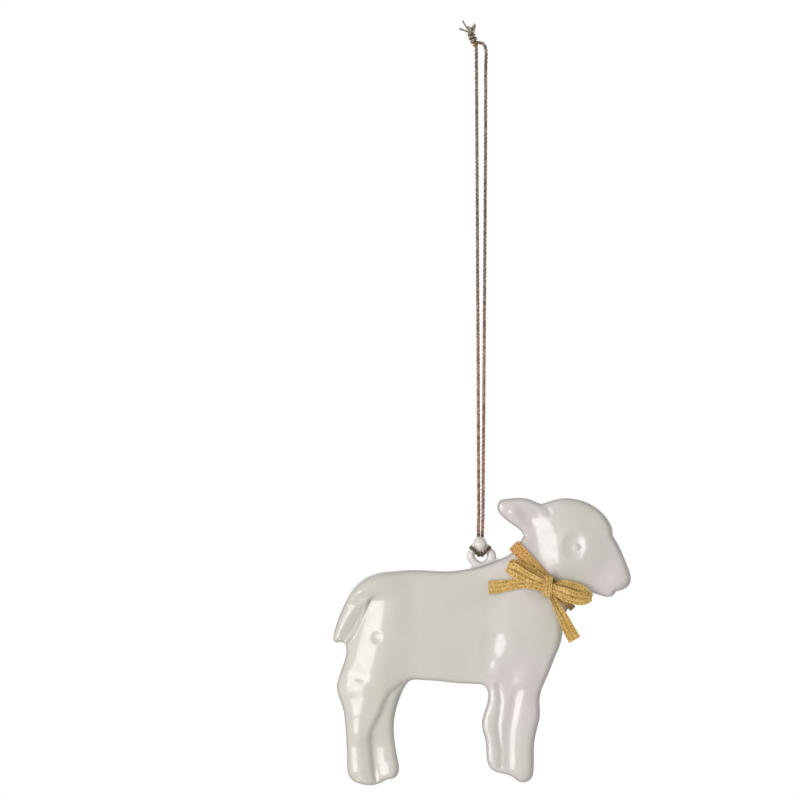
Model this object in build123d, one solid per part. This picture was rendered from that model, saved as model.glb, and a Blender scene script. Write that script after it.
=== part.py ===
"""A hanging lamb: two pressed and enamelled steel halves, an eye on the back, a cord loop and a ribbon bow.

The lamb faces +X and its near side faces -Y, with the seam of the two halves in the plane Y = 0. The origin
is the hang point, under the bend at the top of the cord loop, and +Z is up. All lengths are in millimetres.
"""

from build123d import *
import math
import os

import numpy as np

# The lamb's driving sizes
lamb_length = 77.4  # tail to nose
half_depth = 4.9  # highest point of one half, over the seam
rim_height = 1.2  # straight edge of one half, beside the seam
edge_reach = 3.4  # width of the roll from the edge up to the full height
sheet_thickness = 0.6  # steel and enamel
seam_gap = 0.2  # between the rims, filled with solder
solder_inset = 0.15  # the solder stays inside the rims by this much
overrun = 5.0  # how far a cut or a blank runs past what it cuts
grid_pitch = 2.6  # spacing of the points that carry the pressed surface
grid_margin = 1.5  # how far these points go past the lamb
surface_tolerance = 0.05  # how closely the pressed surface follows its grid

# The eye on the lamb's back
eyelet_width = 7.5  # over the ring
eyelet_thickness = 1.8
eyelet_rise = 5.46  # crown centre above its seat on the back
crown_diameter = 3.9
eyelet_bead = 0.5  # solder round the foot, past the eye and over the back
bead_depth = 2.3  # the same bead, across the seam

# The ribbon
ribbon_width = 3.2
ribbon_thickness = 0.5
band_clearance = 0.25  # between the band and the enamel
band_end_clearance = 0.55  # the same at the nape and the throat, where the edge slants under the band
layer_gap = 0.1  # between layers of ribbon
knot_width = 2.4
knot_height = 5.2
knot_depth = 3.0
knot_round = 0.7
loop_rear_length = 11.2
loop_front_length = 10.9
loop_depth = 2.6  # from layer to layer of an open loop
tail_rear_length = 15.6
tail_front_length = 14.4
tail_front_start = 1.7  # the front tail starts this far below the middle of the knot

# The cord
cord_diameter = 0.84
hang_drop = 129.9  # hang point down to the centre of the crown
crown_offset = 0.44  # the crown hangs this far to the tail side of the hang point
knot_length = 3.9  # knot in the cord, along its lean
knot_diameter = 2.1
stub_diameter = 1.5  # the two cut ends, side by side
stub_length = 1.5
filament_diameter = 0.28
filament_lengths = (2.7, 2.4, 1.5)
filament_degrees = (-38, -78, 12)  # lean of each loose thread from the knot
knot_degrees = -22  # lean of the knot to the tail side

# The outline, in pixels of the photograph, one list for each smooth stretch between corners
lamb_length_pixels = 297.6
seat_pixel = (483.0, 565.6)
crown_pixel = (479.8, 544.6)
tail_end_pixels = [(345.5, 643.5), (341, 641.8), (336.5, 642.4)]
back_pixels = [
    (336.5, 642.4), (333.6, 640.2), (333.3, 636), (335.5, 627.5), (339.5, 616), (344.5, 604), (350.5, 592.8),
    (358, 583.8), (366.5, 577.4), (377, 573.4), (394, 571), (420, 570.2), (448, 571.3), (469, 568.8),
    (484, 565.2), (497, 560), (506, 556.4), (513, 551.4), (519, 543.5), (524, 535.5),
]
ear_pixels = [
    (524, 535.5), (520.5, 530.6), (513, 525), (504.5, 518.3), (499, 512.6), (497.2, 506.5), (499.6, 501),
    (506, 498.9), (518, 497.9), (528, 498.8), (536, 502), (541.5, 503.9),
]
head_pixels = [
    (541.5, 503.9), (549, 501.5), (558, 498.9), (569, 498.3), (580, 500.1), (592, 505), (602, 512.6),
    (609, 521.5), (612.3, 529.5), (612.6, 535.3),
]
nose_pixels = [
    (612.6, 535.3), (617.5, 543.3), (623, 555), (628, 567.5), (630.7, 577), (629.2, 584.2), (624.5, 588.6),
    (615.8, 591.4),
]
chest_pixels = [
    (615.8, 591.4), (613.5, 594.8), (609.5, 596.7), (602, 595.8), (592, 592.6), (583, 590.4),
    (576.5, 593.2), (571.8, 600), (567.5, 609), (563.8, 619.5), (562.5, 632), (560.5, 643), (554.5, 658),
    (547.5, 675.5), (541.5, 689.5), (539.5, 700), (539.9, 714), (537.5, 726.5), (534.6, 740),
    (533.9, 757), (533.5, 770.5), (531.2, 778.2), (526.5, 781.4), (519.5, 781.5), (513.5, 777.3),
]
underside_pixels = [
    (513.5, 777.3), (509, 775), (501, 773), (493, 770.2), (488.6, 765), (486.3, 754), (485.6, 742),
    (483.2, 732), (481.9, 723), (484, 713), (487.6, 701), (487.9, 692.5), (484.8, 686), (476, 683.7),
    (458, 683), (440, 681), (419, 679.6), (410.5, 680.4), (405.5, 685.6), (399.5, 698.5),
    (395.2, 713.5), (393.8, 728.5), (395, 744), (398, 761), (398.9, 770.5), (395.5, 776.8), (387, 779.2),
]
hind_leg_pixels = [
    (387, 779.2), (379.5, 783), (370, 785), (360, 783.4), (352.5, 779.8), (348.4, 774), (347.2, 762),
    (346.6, 744), (344.9, 720), (342.3, 705.5), (338, 693.2), (337.2, 684), (341, 671), (345.3, 658),
    (346.4, 649.5), (345.5, 643.5),
]
outline_stretches = [
    tail_end_pixels, back_pixels, ear_pixels, head_pixels,
    nose_pixels, chest_pixels, underside_pixels, hind_leg_pixels,
]

# The pressed relief. Places and reaches are in pixels of the photograph, leans in degrees, and each height
# is a share of half_depth.
base_share = 0.50
swell_shares = [  # centre, reach along, reach across, lean, height share
    ((437, 628), 110, 62, 0, 0.34),  # barrel
    ((385, 625), 46, 60, -8, 0.42),  # haunch
    ((366, 688), 26, 56, 6, 0.34),  # thigh and hock
    ((520, 630), 56, 70, 10, 0.44),  # shoulder and chest
    ((530, 580), 44, 40, 45, 0.34),  # neck
    ((556, 558), 34, 34, 0, 0.30),  # cheek
    ((578, 540), 52, 48, 35, 0.36),  # skull
    ((612, 574), 26, 26, 0, 0.12),  # muzzle
]
ridge_shares = [  # points, reach, height share
    ([(358, 700), (358, 735), (361, 775)], 17, 0.30),  # near hind leg
    ([(386, 735), (387, 772)], 15, 0.10),  # far hind leg
    ([(524, 690), (522, 725), (524, 772)], 17, 0.34),  # near foreleg
    ([(495, 700), (491, 725), (496, 762)], 10, 0.16),  # far foreleg
    ([(345, 628), (360, 604)], 15, 0.12),  # tail
]
crease_shares = [  # points, reach, depth share
    ([(404, 684), (389, 696), (379, 714), (371, 730), (372, 755), (373, 781)], 13, 0.20),  # between hind legs
    ([(502, 696), (500, 725), (502, 765)], 12, 0.10),  # between the forelegs
    ([(346, 643), (352, 628), (366, 603)], 12, 0.18),  # under the tail
    ([(513, 513), (532, 518)], 12, 0.20),  # hollow of the ear
    ([(565, 546), (577, 545)], 14, 0.20),  # socket of the eye
]

# The eye's outline and hole: across the width, up from the crown's centre, as shares of eyelet_width
eyelet_right_shares = [(0.56, -0.90), (0.57, -0.56), (0.555, -0.30), (0.50, -0.19), (0.31, -0.09)]
eyelet_crown_shares = [(0.31, -0.09), (0.26, 0.06), (0.16, 0.22), (0, 0.29), (-0.16, 0.22), (-0.26, 0.06),
                       (-0.31, -0.13)]
eyelet_left_shares = [(-0.31, -0.13), (-0.40, -0.23), (-0.45, -0.38), (-0.42, -0.54), (-0.33, -0.66),
                      (-0.26, -0.82), (-0.24, -1.06)]
eyelet_hole_shares = [(0.08, -0.60), (0.21, -0.47), (0.23, -0.32), (0.03, -0.24), (-0.17, -0.32),
                      (-0.14, -0.46)]

# Places of the ribbon, in pixels of the photograph
nape_pixel = (516.0, 547.3)
throat_pixel = (570.6, 606.2)
bow_pixel = (548.8, 583.6)
loop_rear_degrees = 156.0
loop_front_degrees = -15.0
tail_rear_degrees = 182.0
tail_front_degrees = -64.0
tail_bow_share = 0.25  # how far a tail's middle bows, as a share of ribbon_width

# The cord's routes, chosen by hand, from the hang point
knot_place = (-2.3, 0, 1.5)
strand_left_route = [
    (-1.35, 0, 0.2), (-1.19, 0.02, -22), (-1.05, -0.03, -52), (-0.86, 0.02, -82), (-0.70, 0, -122.4),
]
strand_right_route = [
    (-1.10, 0, 0.62), (-0.1, 0.02, 0.66), (0.86, 0.05, 0.02), (1.28, 0.03, -1.6), (1.08, 0, -5.0),
    (1.10, -0.03, -20), (0.92, 0.03, -48), (0.68, -0.02, -84), (0.40, 0, -122.4),
]
neck_upper_levels = (-122.7, -123.9)  # top and bottom of both strands
neck_lower_levels = (-124.74, -125.6)
neck_places = (-0.68, 0.38)  # X of the two strands where they run side by side
hitch_half_route = [  # from the strands down behind the crown, out through the hole and round to the back
    (0.53, 0, 3.55), (0.51, 0.9, 2.75), (0.46, 2.25, 1.5), (0.46, 2.55, -0.4), (0.46, 1.7, -2.05),
    (0.50, -0.1, -2.75), (0.75, -1.75, -2.45), (1.75, -2.05, -1.35), (2.75, -1.2, -0.05),
    (2.75, 0.9, 0.35), (1.8, 2.7, 1.35), (0.62, 3.45, 2.3),
]
hitch_offset = 0.15  # the strands stand this far to the head side of the crown's centre

arc_share = 0.45  # of the shorter run, taken by each arc of a cord
curve_pitch_pixels = 2.0  # spacing of the points worked out along the outline
band_samples = 12  # places where the band's height over the neck is read

pixel = lamb_length / lamb_length_pixels
crown_x = -crown_offset
crown_z = -hang_drop
ring_radius = cord_diameter / 2


def place(point):
    """X and Z of a photograph pixel on the lamb, whose seat pixel lies eyelet_rise below the crown."""
    seat_shift = (seat_pixel[0] - crown_pixel[0]) * pixel
    x = crown_x + seat_shift + (point[0] - seat_pixel[0]) * pixel
    z = crown_z - eyelet_rise + (seat_pixel[1] - point[1]) * pixel
    return x, z


def smooth_points(points):
    """A natural cubic curve through the points, sampled at an even pitch along its chords."""
    knots = np.array(points, dtype=float)
    chord = np.concatenate([[0], np.cumsum(np.hypot(*np.diff(knots, axis=0).T))])
    steps = np.diff(chord)
    count = len(knots)
    system = np.eye(count)
    right = np.zeros((count, 2))
    for i in range(1, count - 1):
        system[i, i - 1 : i + 2] = steps[i - 1], 2 * (steps[i - 1] + steps[i]), steps[i]
        right[i] = 6 * ((knots[i + 1] - knots[i]) / steps[i] - (knots[i] - knots[i - 1]) / steps[i - 1])
    bend = np.linalg.solve(system, right)
    along = np.linspace(0, chord[-1], max(4, int(chord[-1] / curve_pitch_pixels)))
    k = np.clip(np.searchsorted(chord, along, side="right") - 1, 0, count - 2)
    step = steps[k][:, None]
    a = (chord[k + 1] - along)[:, None] / step
    b = (along - chord[k])[:, None] / step
    curve = (a**3 - a) * bend[k] + (b**3 - b) * bend[k + 1]
    return a * knots[k] + b * knots[k + 1] + curve * step**2 / 6


def distance_inside(x, y, loop):
    """Distance of each point from a closed loop of pixels, positive inside it."""
    nearest = np.full(x.shape, np.inf)
    inside = np.zeros(x.shape, bool)
    for (ax, ay), (bx, by) in zip(loop, np.roll(loop, -1, axis=0)):
        dx, dy = bx - ax, by - ay
        t = np.clip(((x - ax) * dx + (y - ay) * dy) / (dx * dx + dy * dy), 0, 1)
        nearest = np.minimum(nearest, (x - ax - t * dx) ** 2 + (y - ay - t * dy) ** 2)
        if dy != 0:
            inside ^= ((ay > y) != (by > y)) & (x < (y - ay) * dx / dy + ax)
    return np.where(inside, 1, -1) * np.sqrt(nearest)


def distance_to_line(x, y, points):
    """Distance of each point from an open line of pixels."""
    nearest = np.full(x.shape, np.inf)
    for (ax, ay), (bx, by) in zip(points, points[1:]):
        dx, dy = bx - ax, by - ay
        t = np.clip(((x - ax) * dx + (y - ay) * dy) / (dx * dx + dy * dy), 0, 1)
        nearest = np.minimum(nearest, (x - ax - t * dx) ** 2 + (y - ay - t * dy) ** 2)
    return np.sqrt(nearest)


def bump(reached):
    """A smooth hill of height 1 that ends at 1 of its reach: (1 - reached squared) squared."""
    return (1 - np.minimum(reached, 1) ** 2) ** 2


def pressed_height(x, y):
    """Height of the pressing over the seam, at pixels x, y: the relief, rolled down to the rim at its edge."""
    loop = np.vstack([smooth_points(stretch)[:-1] for stretch in outline_stretches])
    swell = np.zeros(x.shape)
    for (cx, cy), along, across, lean, share in swell_shares:
        turn = math.radians(lean)
        u = (x - cx) * math.cos(turn) + (y - cy) * math.sin(turn)
        v = (y - cy) * math.cos(turn) - (x - cx) * math.sin(turn)
        swell += (share * bump(np.hypot(u / along, v / across))) ** 3
    relief = base_share + np.cbrt(swell)
    for points, reach, share in ridge_shares:
        relief += share * bump(distance_to_line(x, y, points) / reach)
    for points, reach, share in crease_shares:
        relief -= share * bump(distance_to_line(x, y, points) / reach)
    rolled = distance_inside(x, y, loop) * pixel / edge_reach
    roll = np.where(rolled > 0, 1 - (1 - np.minimum(rolled, 1)) ** 2, np.tanh(2 * rolled))
    full = np.minimum(relief, 1) * half_depth
    return rim_height + (full - rim_height) * roll


def inset_stretches(inset):
    """The outline's stretches in X and Z, with every point moved into the lamb by inset."""
    points = [place(p) for stretch in outline_stretches for p in stretch[:-1]]
    ring = np.array(points)
    before = ring - np.roll(ring, 1, axis=0)
    after = np.roll(ring, -1, axis=0) - ring
    normals = []
    for chord in (before, after):
        chord = chord / np.hypot(*chord.T)[:, None]
        normals.append(np.stack([chord[:, 1], -chord[:, 0]], axis=1))
    mitre = (normals[0] + normals[1]) / (1 + np.sum(normals[0] * normals[1], axis=1))[:, None]
    moved = ring + mitre * inset
    stretches = []
    first = 0
    for stretch in outline_stretches:
        picks = [(first + i) % len(moved) for i in range(len(stretch))]
        stretches.append([(float(moved[i][0]), float(moved[i][1])) for i in picks])
        first += len(stretch) - 1
    return stretches


def outline_face(inset):
    """The lamb's outline as a face in the seam plane, moved in by inset."""
    edges = [Spline(*[(x, 0, z) for x, z in stretch]) for stretch in inset_stretches(inset)]
    return Face(Wire(edges))


def slab(face, low, high):
    """A face of the seam plane, extruded along Y from low to high."""
    return extrude(face, amount=high - low, dir=(0, 1, 0)).moved(Location((0, low, 0)))


def pressing_block():
    """Everything under the near side's pressed surface, down past the seam plane."""
    margin = grid_margin / pixel
    pitch = grid_pitch / pixel
    loop = np.vstack([np.array(stretch) for stretch in outline_stretches])
    low, high = loop.min(axis=0) - margin, loop.max(axis=0) + margin
    counts = np.ceil((high - low) / pitch).astype(int)
    xs = np.linspace(low[0], high[0], counts[0])
    ys = np.linspace(low[1], high[1], counts[1])
    grid_x, grid_y = np.meshgrid(xs, ys, indexing="ij")
    height = pressed_height(grid_x, grid_y)
    rows = []
    for i in range(counts[0]):
        row = []
        for j in range(counts[1]):
            x, z = place((grid_x[i, j], grid_y[i, j]))
            row.append((float(x), -float(height[i, j]), float(z)))
        rows.append(row)
    surface = Face.make_surface_from_array_of_points(
        rows, tol=surface_tolerance, smoothing=(1, 1, 1), max_deg=5
    )
    return extrude(surface, amount=2 * (half_depth + overrun), dir=(0, 1, 0))


def half_shells():
    """The near and far pressings: a domed shell with an open back, and its mirror image."""
    block = pressing_block()
    outer = slab(outline_face(0), -half_depth - overrun, -seam_gap / 2) & block
    hollow_block = block.moved(Location((0, sheet_thickness, 0)))
    hollow = slab(outline_face(sheet_thickness), -half_depth - overrun, overrun) & hollow_block
    near = (outer - hollow).solid()
    far = near.mirror(Plane.XZ)
    return near, far


def seam_solder():
    """The solder between the rims, a little inside them."""
    ring = outline_face(solder_inset) - outline_face(sheet_thickness)
    return slab(ring, -seam_gap / 2, seam_gap / 2)


def share_points(shares):
    """Points of the eye, from shares of its width round the crown's centre."""
    return [(crown_x + u * eyelet_width, 0, crown_z + v * eyelet_width) for u, v in shares]


def hanging_eyelet():
    """The pear-shaped eye: a plate with a hole and a round crown, cut to the lamb's back."""
    right = share_points(eyelet_right_shares)
    crown = share_points(eyelet_crown_shares)
    left = share_points(eyelet_left_shares)
    plate = Face(Wire([Spline(*right), Spline(*crown), Spline(*left), Line(left[-1], right[0])]))
    hole_points = share_points(eyelet_hole_shares)
    hole = Face(Wire([Spline(*hole_points, periodic=True)]))
    eye = slab(plate - hole, -eyelet_thickness / 2, eyelet_thickness / 2)
    ball = Sphere(crown_diameter / 2).moved(Location((crown_x, 0, crown_z)))
    lamb = slab(outline_face(0), -overrun, overrun)
    return (eye + ball - lamb).solid()


def eyelet_solder(eye):
    """The bead round the eye's foot, lying on the lamb's back."""
    lamb = slab(outline_face(0), -overrun, overrun)
    over = slab(outline_face(-eyelet_bead), -bead_depth / 2, bead_depth / 2)
    right = share_points(eyelet_right_shares)[0][0] + eyelet_bead
    left = share_points(eyelet_left_shares)[-1][0] - eyelet_bead
    window = Box(right - left, bead_depth, eyelet_rise * 2).moved(
        Location(((right + left) / 2, 0, crown_z - eyelet_rise))
    )
    bead = (over & window) - lamb - eye
    return bead


def height_at(points):
    """Highest pressed surface at a list of pixels."""
    spots = np.array(points, float)
    return float(pressed_height(spots[:, 0], spots[:, 1]).max())


def band_levels():
    """Distance from the seam plane of the band's inner and outer faces."""
    along = np.linspace(0, 1, band_samples)[:, None]
    line = np.array(nape_pixel) * (1 - along) + np.array(throat_pixel) * along
    side = np.array(throat_pixel) - np.array(nape_pixel)
    side = np.array([-side[1], side[0]]) / np.hypot(*side) * ribbon_width / 2 / pixel
    inner = height_at(np.vstack([line - side, line, line + side])) + band_clearance
    return inner, inner + ribbon_thickness


def ribbon_neck_band():
    """The ribbon round the neck: a flat ring that stands off the enamel."""
    inner, outer = band_levels()
    nape = Vector(*place(nape_pixel))
    throat = Vector(*place(throat_pixel))
    run = throat - nape
    centre = (nape + throat) / 2
    along = Vector(run.X, 0, run.Y).normalized()
    across = Vector(0, 1, 0).cross(along)
    plane = Plane(origin=(centre.X, 0, centre.Y), x_dir=along, z_dir=across)
    half_run = run.length / 2 + band_end_clearance
    hollow = RectangleRounded(2 * half_run, 2 * inner, inner / 2)
    full = RectangleRounded(2 * (half_run + ribbon_thickness), 2 * outer, inner / 2 + ribbon_thickness)
    return extrude(plane * (full - hollow), amount=ribbon_width / 2, both=True)


def bow_frame(degrees, depth):
    """A plane at the bow with X along a loop or tail, Y across the ribbon and Z towards the viewer."""
    x, z = place(bow_pixel)
    turn = math.radians(degrees)
    return Plane(origin=(x, -depth, z), x_dir=(math.cos(turn), 0, math.sin(turn)), z_dir=(0, -1, 0))


def bow_knot():
    """The short wrap of ribbon at the middle of the bow."""
    outer = band_levels()[1]
    frame = bow_frame(0, outer + knot_depth / 2)
    block = Box(knot_width, knot_height, knot_depth)
    return frame * fillet(block.edges(), knot_round)


def bow_loop(degrees, length, knot):
    """An open loop: a lens-shaped band of ribbon from the knot out to its fold."""
    outer = band_levels()[1]
    depth = outer + ribbon_thickness + 2 * layer_gap + loop_depth / 2
    frame = bow_frame(degrees, depth)
    side = Plane(origin=frame.origin, x_dir=frame.x_dir, z_dir=frame.y_dir)
    lens = Ellipse(length / 2, loop_depth / 2)
    inside = Ellipse(length / 2 - ribbon_thickness, loop_depth / 2 - ribbon_thickness)
    ring = extrude(lens - inside, amount=ribbon_width / 2, both=True)
    loop = side * ring.moved(Location((length / 2, 0, 0)))
    return (loop - knot).solid()


def bow_tail(degrees, start, length, bows, knot):
    """A hanging end of the ribbon: a flat strip, bowed a little in its own plane."""
    outer = band_levels()[1]
    frame = bow_frame(degrees, outer + layer_gap + ribbon_thickness)
    half = ribbon_width / 2
    rise = bows * tail_bow_share * ribbon_width
    middle = (start + length) / 2
    top = Spline((start, half), (middle, half + rise), (length, half))
    cut_end = Line((length, half), (length, -half))
    bottom = Spline((length, -half), (middle, rise - half), (start, -half))
    knot_end = Line((start, -half), (start, half))
    strip = Face(Wire([top, cut_end, bottom, knot_end]))
    tail = extrude(frame * strip, amount=ribbon_thickness, dir=(0, 1, 0))
    return (tail - knot).solid()


def cord_radii(route):
    """An arc at each inner point of a route: a share of the shorter run over the tangent of half the turn."""
    radii = []
    for a, b, c in zip(route, route[1:], route[2:]):
        first = Vector(*b) - Vector(*a)
        second = Vector(*c) - Vector(*b)
        half_turn = math.radians(first.get_angle(second)) / 2
        radii.append(arc_share * min(first.length, second.length) / math.tan(half_turn))
    return radii


def cord_tube(name, route):
    """A round cord along straight runs joined by tangent arcs."""
    radii = cord_radii(route)
    line = FilletPolyline(*route, radius=radii)
    start = Plane(origin=line @ 0, z_dir=line % 0)
    tube = sweep(start * Circle(ring_radius), path=line)
    expected = math.pi * ring_radius**2 * line.length
    print(
        f"{name}: length {line.length:.1f}, smallest radius {min(radii):.2f},"
        f" volume {tube.volume:.2f} of {expected:.2f}"
    )
    return tube.solid()


def strand_pair(name, levels):
    """The two strands side by side, between two levels."""
    high, low = levels
    solids = []
    for x in neck_places:
        solids.append(Cylinder(ring_radius, high - low).moved(Location((x, 0, (high + low) / 2))))
    print(f"{name}: two straight tubes, each {high - low:.2f} long")
    return Compound(solids)


def cord_hitch():
    """The hitch on the crown: down behind it, through the eye, round both sides and behind the strands."""
    middle = (crown_x + hitch_offset, 0, crown_z)
    right = [(middle[0] + x, y, middle[2] + z) for x, y, z in hitch_half_route]
    left = [(middle[0] - x, y, middle[2] + z) for x, y, z in hitch_half_route]
    return cord_tube("cord_hitch", right + left[::-1])


def cord_knot():
    """The knot that closes the loop, leaning to the tail side."""
    ball = Sphere(knot_diameter / 2)
    stretch = (knot_length - knot_diameter) / 2
    body = extrude(Circle(knot_diameter / 2), amount=stretch, both=True)
    body = body + ball.moved(Location((0, 0, stretch))) + ball.moved(Location((0, 0, -stretch)))
    return body


def build_knot_and_ends():
    """The knot with the cut ends over it, and the tubes that meet it."""
    lean = Location(knot_place, (0, knot_degrees, 0))
    knot = (lean * cord_knot()).solid()
    stub = Cylinder(stub_diameter / 2, stub_length).moved(Location((0, 0, knot_length / 2 + stub_length / 2)))
    ends = lean * stub
    for length, tilt in zip(filament_lengths, filament_degrees):
        thread = Cylinder(filament_diameter / 2, length).moved(Location((0, 0, length / 2)))
        foot = Location((0, 0, knot_length / 2 + stub_length / 2), (0, tilt, 0))
        ends = ends + lean * (foot * thread)
    return knot, (ends - knot).solid()


def main():
    os.makedirs("parts", exist_ok=True)
    near, far = half_shells()
    eye = hanging_eyelet()
    knot = bow_knot()
    cord_ball, cord_ends = build_knot_and_ends()
    nodes = {
        "near_half_shell": near,
        "far_half_shell": far,
        "seam_solder": seam_solder(),
        "hanging_eyelet": eye,
        "eyelet_solder": eyelet_solder(eye),
        "ribbon_neck_band": ribbon_neck_band(),
        "bow_knot": knot,
        "bow_loop_rear": bow_loop(loop_rear_degrees, loop_rear_length, knot),
        "bow_loop_front": bow_loop(loop_front_degrees, loop_front_length, knot),
        "bow_tail_rear": bow_tail(tail_rear_degrees, 0, tail_rear_length, -1, knot),
        "bow_tail_front": bow_tail(tail_front_degrees, tail_front_start, tail_front_length, 1, knot),
        "cord_strand_left": cord_tube("cord_strand_left", strand_left_route) - cord_ball,
        "cord_strand_right": cord_tube("cord_strand_right", strand_right_route) - cord_ball,
        "cord_neck_upper": strand_pair("cord_neck_upper", neck_upper_levels),
        "cord_neck_lower": strand_pair("cord_neck_lower", neck_lower_levels),
        "cord_hitch": cord_hitch(),
        "cord_knot": cord_ball,
        "cord_frayed_ends": cord_ends,
    }
    for name, shape in nodes.items():
        export_step(shape, f"parts/{name}.step")


main()
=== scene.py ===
# %% [markdown]
# A hanging lamb ornament, dressed for the camera.
#
# The real thing is two thin steel pressings, soldered rim to rim and dipped in pearl enamel. It hangs by an
# eye on its back from a loop of twisted metallic cord, and wears a narrow knitted ribbon tied in a bow.
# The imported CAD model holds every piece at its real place. This script loads it as a fixed frame, and makes
# the surfaces that a camera sees: the soft relief of the pressing, the plies of the cord, the stitches of the
# ribbon and the finishes.

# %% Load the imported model
import math

import bpy
import numpy as np
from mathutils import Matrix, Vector, geometry


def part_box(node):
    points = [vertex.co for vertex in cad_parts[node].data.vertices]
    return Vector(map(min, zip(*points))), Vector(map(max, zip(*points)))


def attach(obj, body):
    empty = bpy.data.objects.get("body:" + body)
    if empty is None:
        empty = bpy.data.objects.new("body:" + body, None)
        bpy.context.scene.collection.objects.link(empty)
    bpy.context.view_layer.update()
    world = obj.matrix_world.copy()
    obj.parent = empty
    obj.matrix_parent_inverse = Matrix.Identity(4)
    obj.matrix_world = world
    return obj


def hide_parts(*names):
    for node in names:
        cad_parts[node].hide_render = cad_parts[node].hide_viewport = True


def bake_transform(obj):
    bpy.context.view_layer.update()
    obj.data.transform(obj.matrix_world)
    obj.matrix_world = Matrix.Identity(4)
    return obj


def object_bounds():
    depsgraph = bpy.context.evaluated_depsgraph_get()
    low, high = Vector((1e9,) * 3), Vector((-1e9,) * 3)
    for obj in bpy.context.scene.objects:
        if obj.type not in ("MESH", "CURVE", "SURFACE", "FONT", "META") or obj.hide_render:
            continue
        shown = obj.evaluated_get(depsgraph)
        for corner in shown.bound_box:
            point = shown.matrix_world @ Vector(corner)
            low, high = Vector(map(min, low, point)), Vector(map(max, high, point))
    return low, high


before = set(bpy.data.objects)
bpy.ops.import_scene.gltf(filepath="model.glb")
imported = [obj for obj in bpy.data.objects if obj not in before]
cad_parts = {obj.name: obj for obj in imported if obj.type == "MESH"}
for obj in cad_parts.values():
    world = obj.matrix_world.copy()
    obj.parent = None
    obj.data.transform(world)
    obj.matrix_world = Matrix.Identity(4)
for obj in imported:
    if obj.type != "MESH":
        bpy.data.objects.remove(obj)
cad_low, cad_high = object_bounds()
scene = bpy.context.scene
mm = 0.001
print("CAD box in mm:", [round(v / mm, 1) for v in cad_high - cad_low])

# %% [markdown]
# The outline of the lamb is the one thing that everything else is measured from. It was read off the
# photograph as a few points for each smooth stretch between two corners, such as the tip of the tail and the
# base of the ear. A natural cubic curve runs through the points of each stretch, as a bent spring would.

# %% The outline, in pixels of the photograph
outline_stretches = [
    [(345.5, 643.5), (341, 641.8), (336.5, 642.4)],
    [(336.5, 642.4), (333.6, 640.2), (333.3, 636), (335.5, 627.5), (339.5, 616), (344.5, 604),
     (350.5, 592.8), (358, 583.8), (366.5, 577.4), (377, 573.4), (394, 571), (420, 570.2), (448, 571.3),
     (469, 568.8), (484, 565.2), (497, 560), (506, 556.4), (513, 551.4), (519, 543.5), (524, 535.5)],
    [(524, 535.5), (520.5, 530.6), (513, 525), (504.5, 518.3), (499, 512.6), (497.2, 506.5), (499.6, 501),
     (506, 498.9), (518, 497.9), (528, 498.8), (536, 502), (541.5, 503.9)],
    [(541.5, 503.9), (549, 501.5), (558, 498.9), (569, 498.3), (580, 500.1), (592, 505), (602, 512.6),
     (609, 521.5), (612.3, 529.5), (612.6, 535.3)],
    [(612.6, 535.3), (617.5, 543.3), (623, 555), (628, 567.5), (630.7, 577), (629.2, 584.2),
     (624.5, 588.6), (615.8, 591.4)],
    [(615.8, 591.4), (613.5, 594.8), (609.5, 596.7), (602, 595.8), (592, 592.6), (583, 590.4),
     (576.5, 593.2), (571.8, 600), (567.5, 609), (563.8, 619.5), (562.5, 632), (560.5, 643), (554.5, 658),
     (547.5, 675.5), (541.5, 689.5), (539.5, 700), (539.9, 714), (537.5, 726.5), (534.6, 740),
     (533.9, 757), (533.5, 770.5), (531.2, 778.2), (526.5, 781.4), (519.5, 781.5), (513.5, 777.3)],
    [(513.5, 777.3), (509, 775), (501, 773), (493, 770.2), (488.6, 765), (486.3, 754), (485.6, 742),
     (483.2, 732), (481.9, 723), (484, 713), (487.6, 701), (487.9, 692.5), (484.8, 686), (476, 683.7),
     (458, 683), (440, 681), (419, 679.6), (410.5, 680.4), (405.5, 685.6), (399.5, 698.5),
     (395.2, 713.5), (393.8, 728.5), (395, 744), (398, 761), (398.9, 770.5), (395.5, 776.8), (387, 779.2)],
    [(387, 779.2), (379.5, 783), (370, 785), (360, 783.4), (352.5, 779.8), (348.4, 774), (347.2, 762),
     (346.6, 744), (344.9, 720), (342.3, 705.5), (338, 693.2), (337.2, 684), (341, 671), (345.3, 658),
     (346.4, 649.5), (345.5, 643.5)],
]


def distances_along(line):
    """Distance along a line of points to each of them."""
    return np.concatenate([[0], np.cumsum(np.linalg.norm(np.diff(line, axis=0), axis=1))])


def natural_cubic(points, spacing):
    """Points of a curve that bends as little as it can through the given ones.

    On the piece between knots i and i+1, with a and b the shares of the way left and gone, the curve is
    a P(i) + b P(i+1) + step squared / 6 ((a cubed - a) M(i) + (b cubed - b) M(i+1)), where the bends M
    solve the usual three-term system and are zero at both ends.
    """
    knots = np.array(points, float)
    chord = distances_along(knots)
    steps = np.diff(chord)[:, None]
    system = np.eye(len(knots))
    inner = np.arange(1, len(knots) - 1)
    system[inner, inner - 1] = steps[:-1, 0]
    system[inner, inner] = 2 * (steps[:-1, 0] + steps[1:, 0])
    system[inner, inner + 1] = steps[1:, 0]
    right = np.zeros(knots.shape)
    slopes = np.diff(knots, axis=0) / steps
    right[1:-1] = 6 * np.diff(slopes, axis=0)
    bends = np.linalg.solve(system, right)
    along = np.linspace(0, chord[-1], max(4, int(chord[-1] / spacing)))
    k = np.clip(np.searchsorted(chord, along, side="right") - 1, 0, len(knots) - 2)
    a = (chord[k + 1] - along)[:, None] / steps[k]
    b = (along - chord[k])[:, None] / steps[k]
    bend = (a**3 - a) * bends[k] + (b**3 - b) * bends[k + 1]
    return a * knots[k] + b * knots[k + 1] + bend * steps[k] ** 2 / 6


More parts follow.
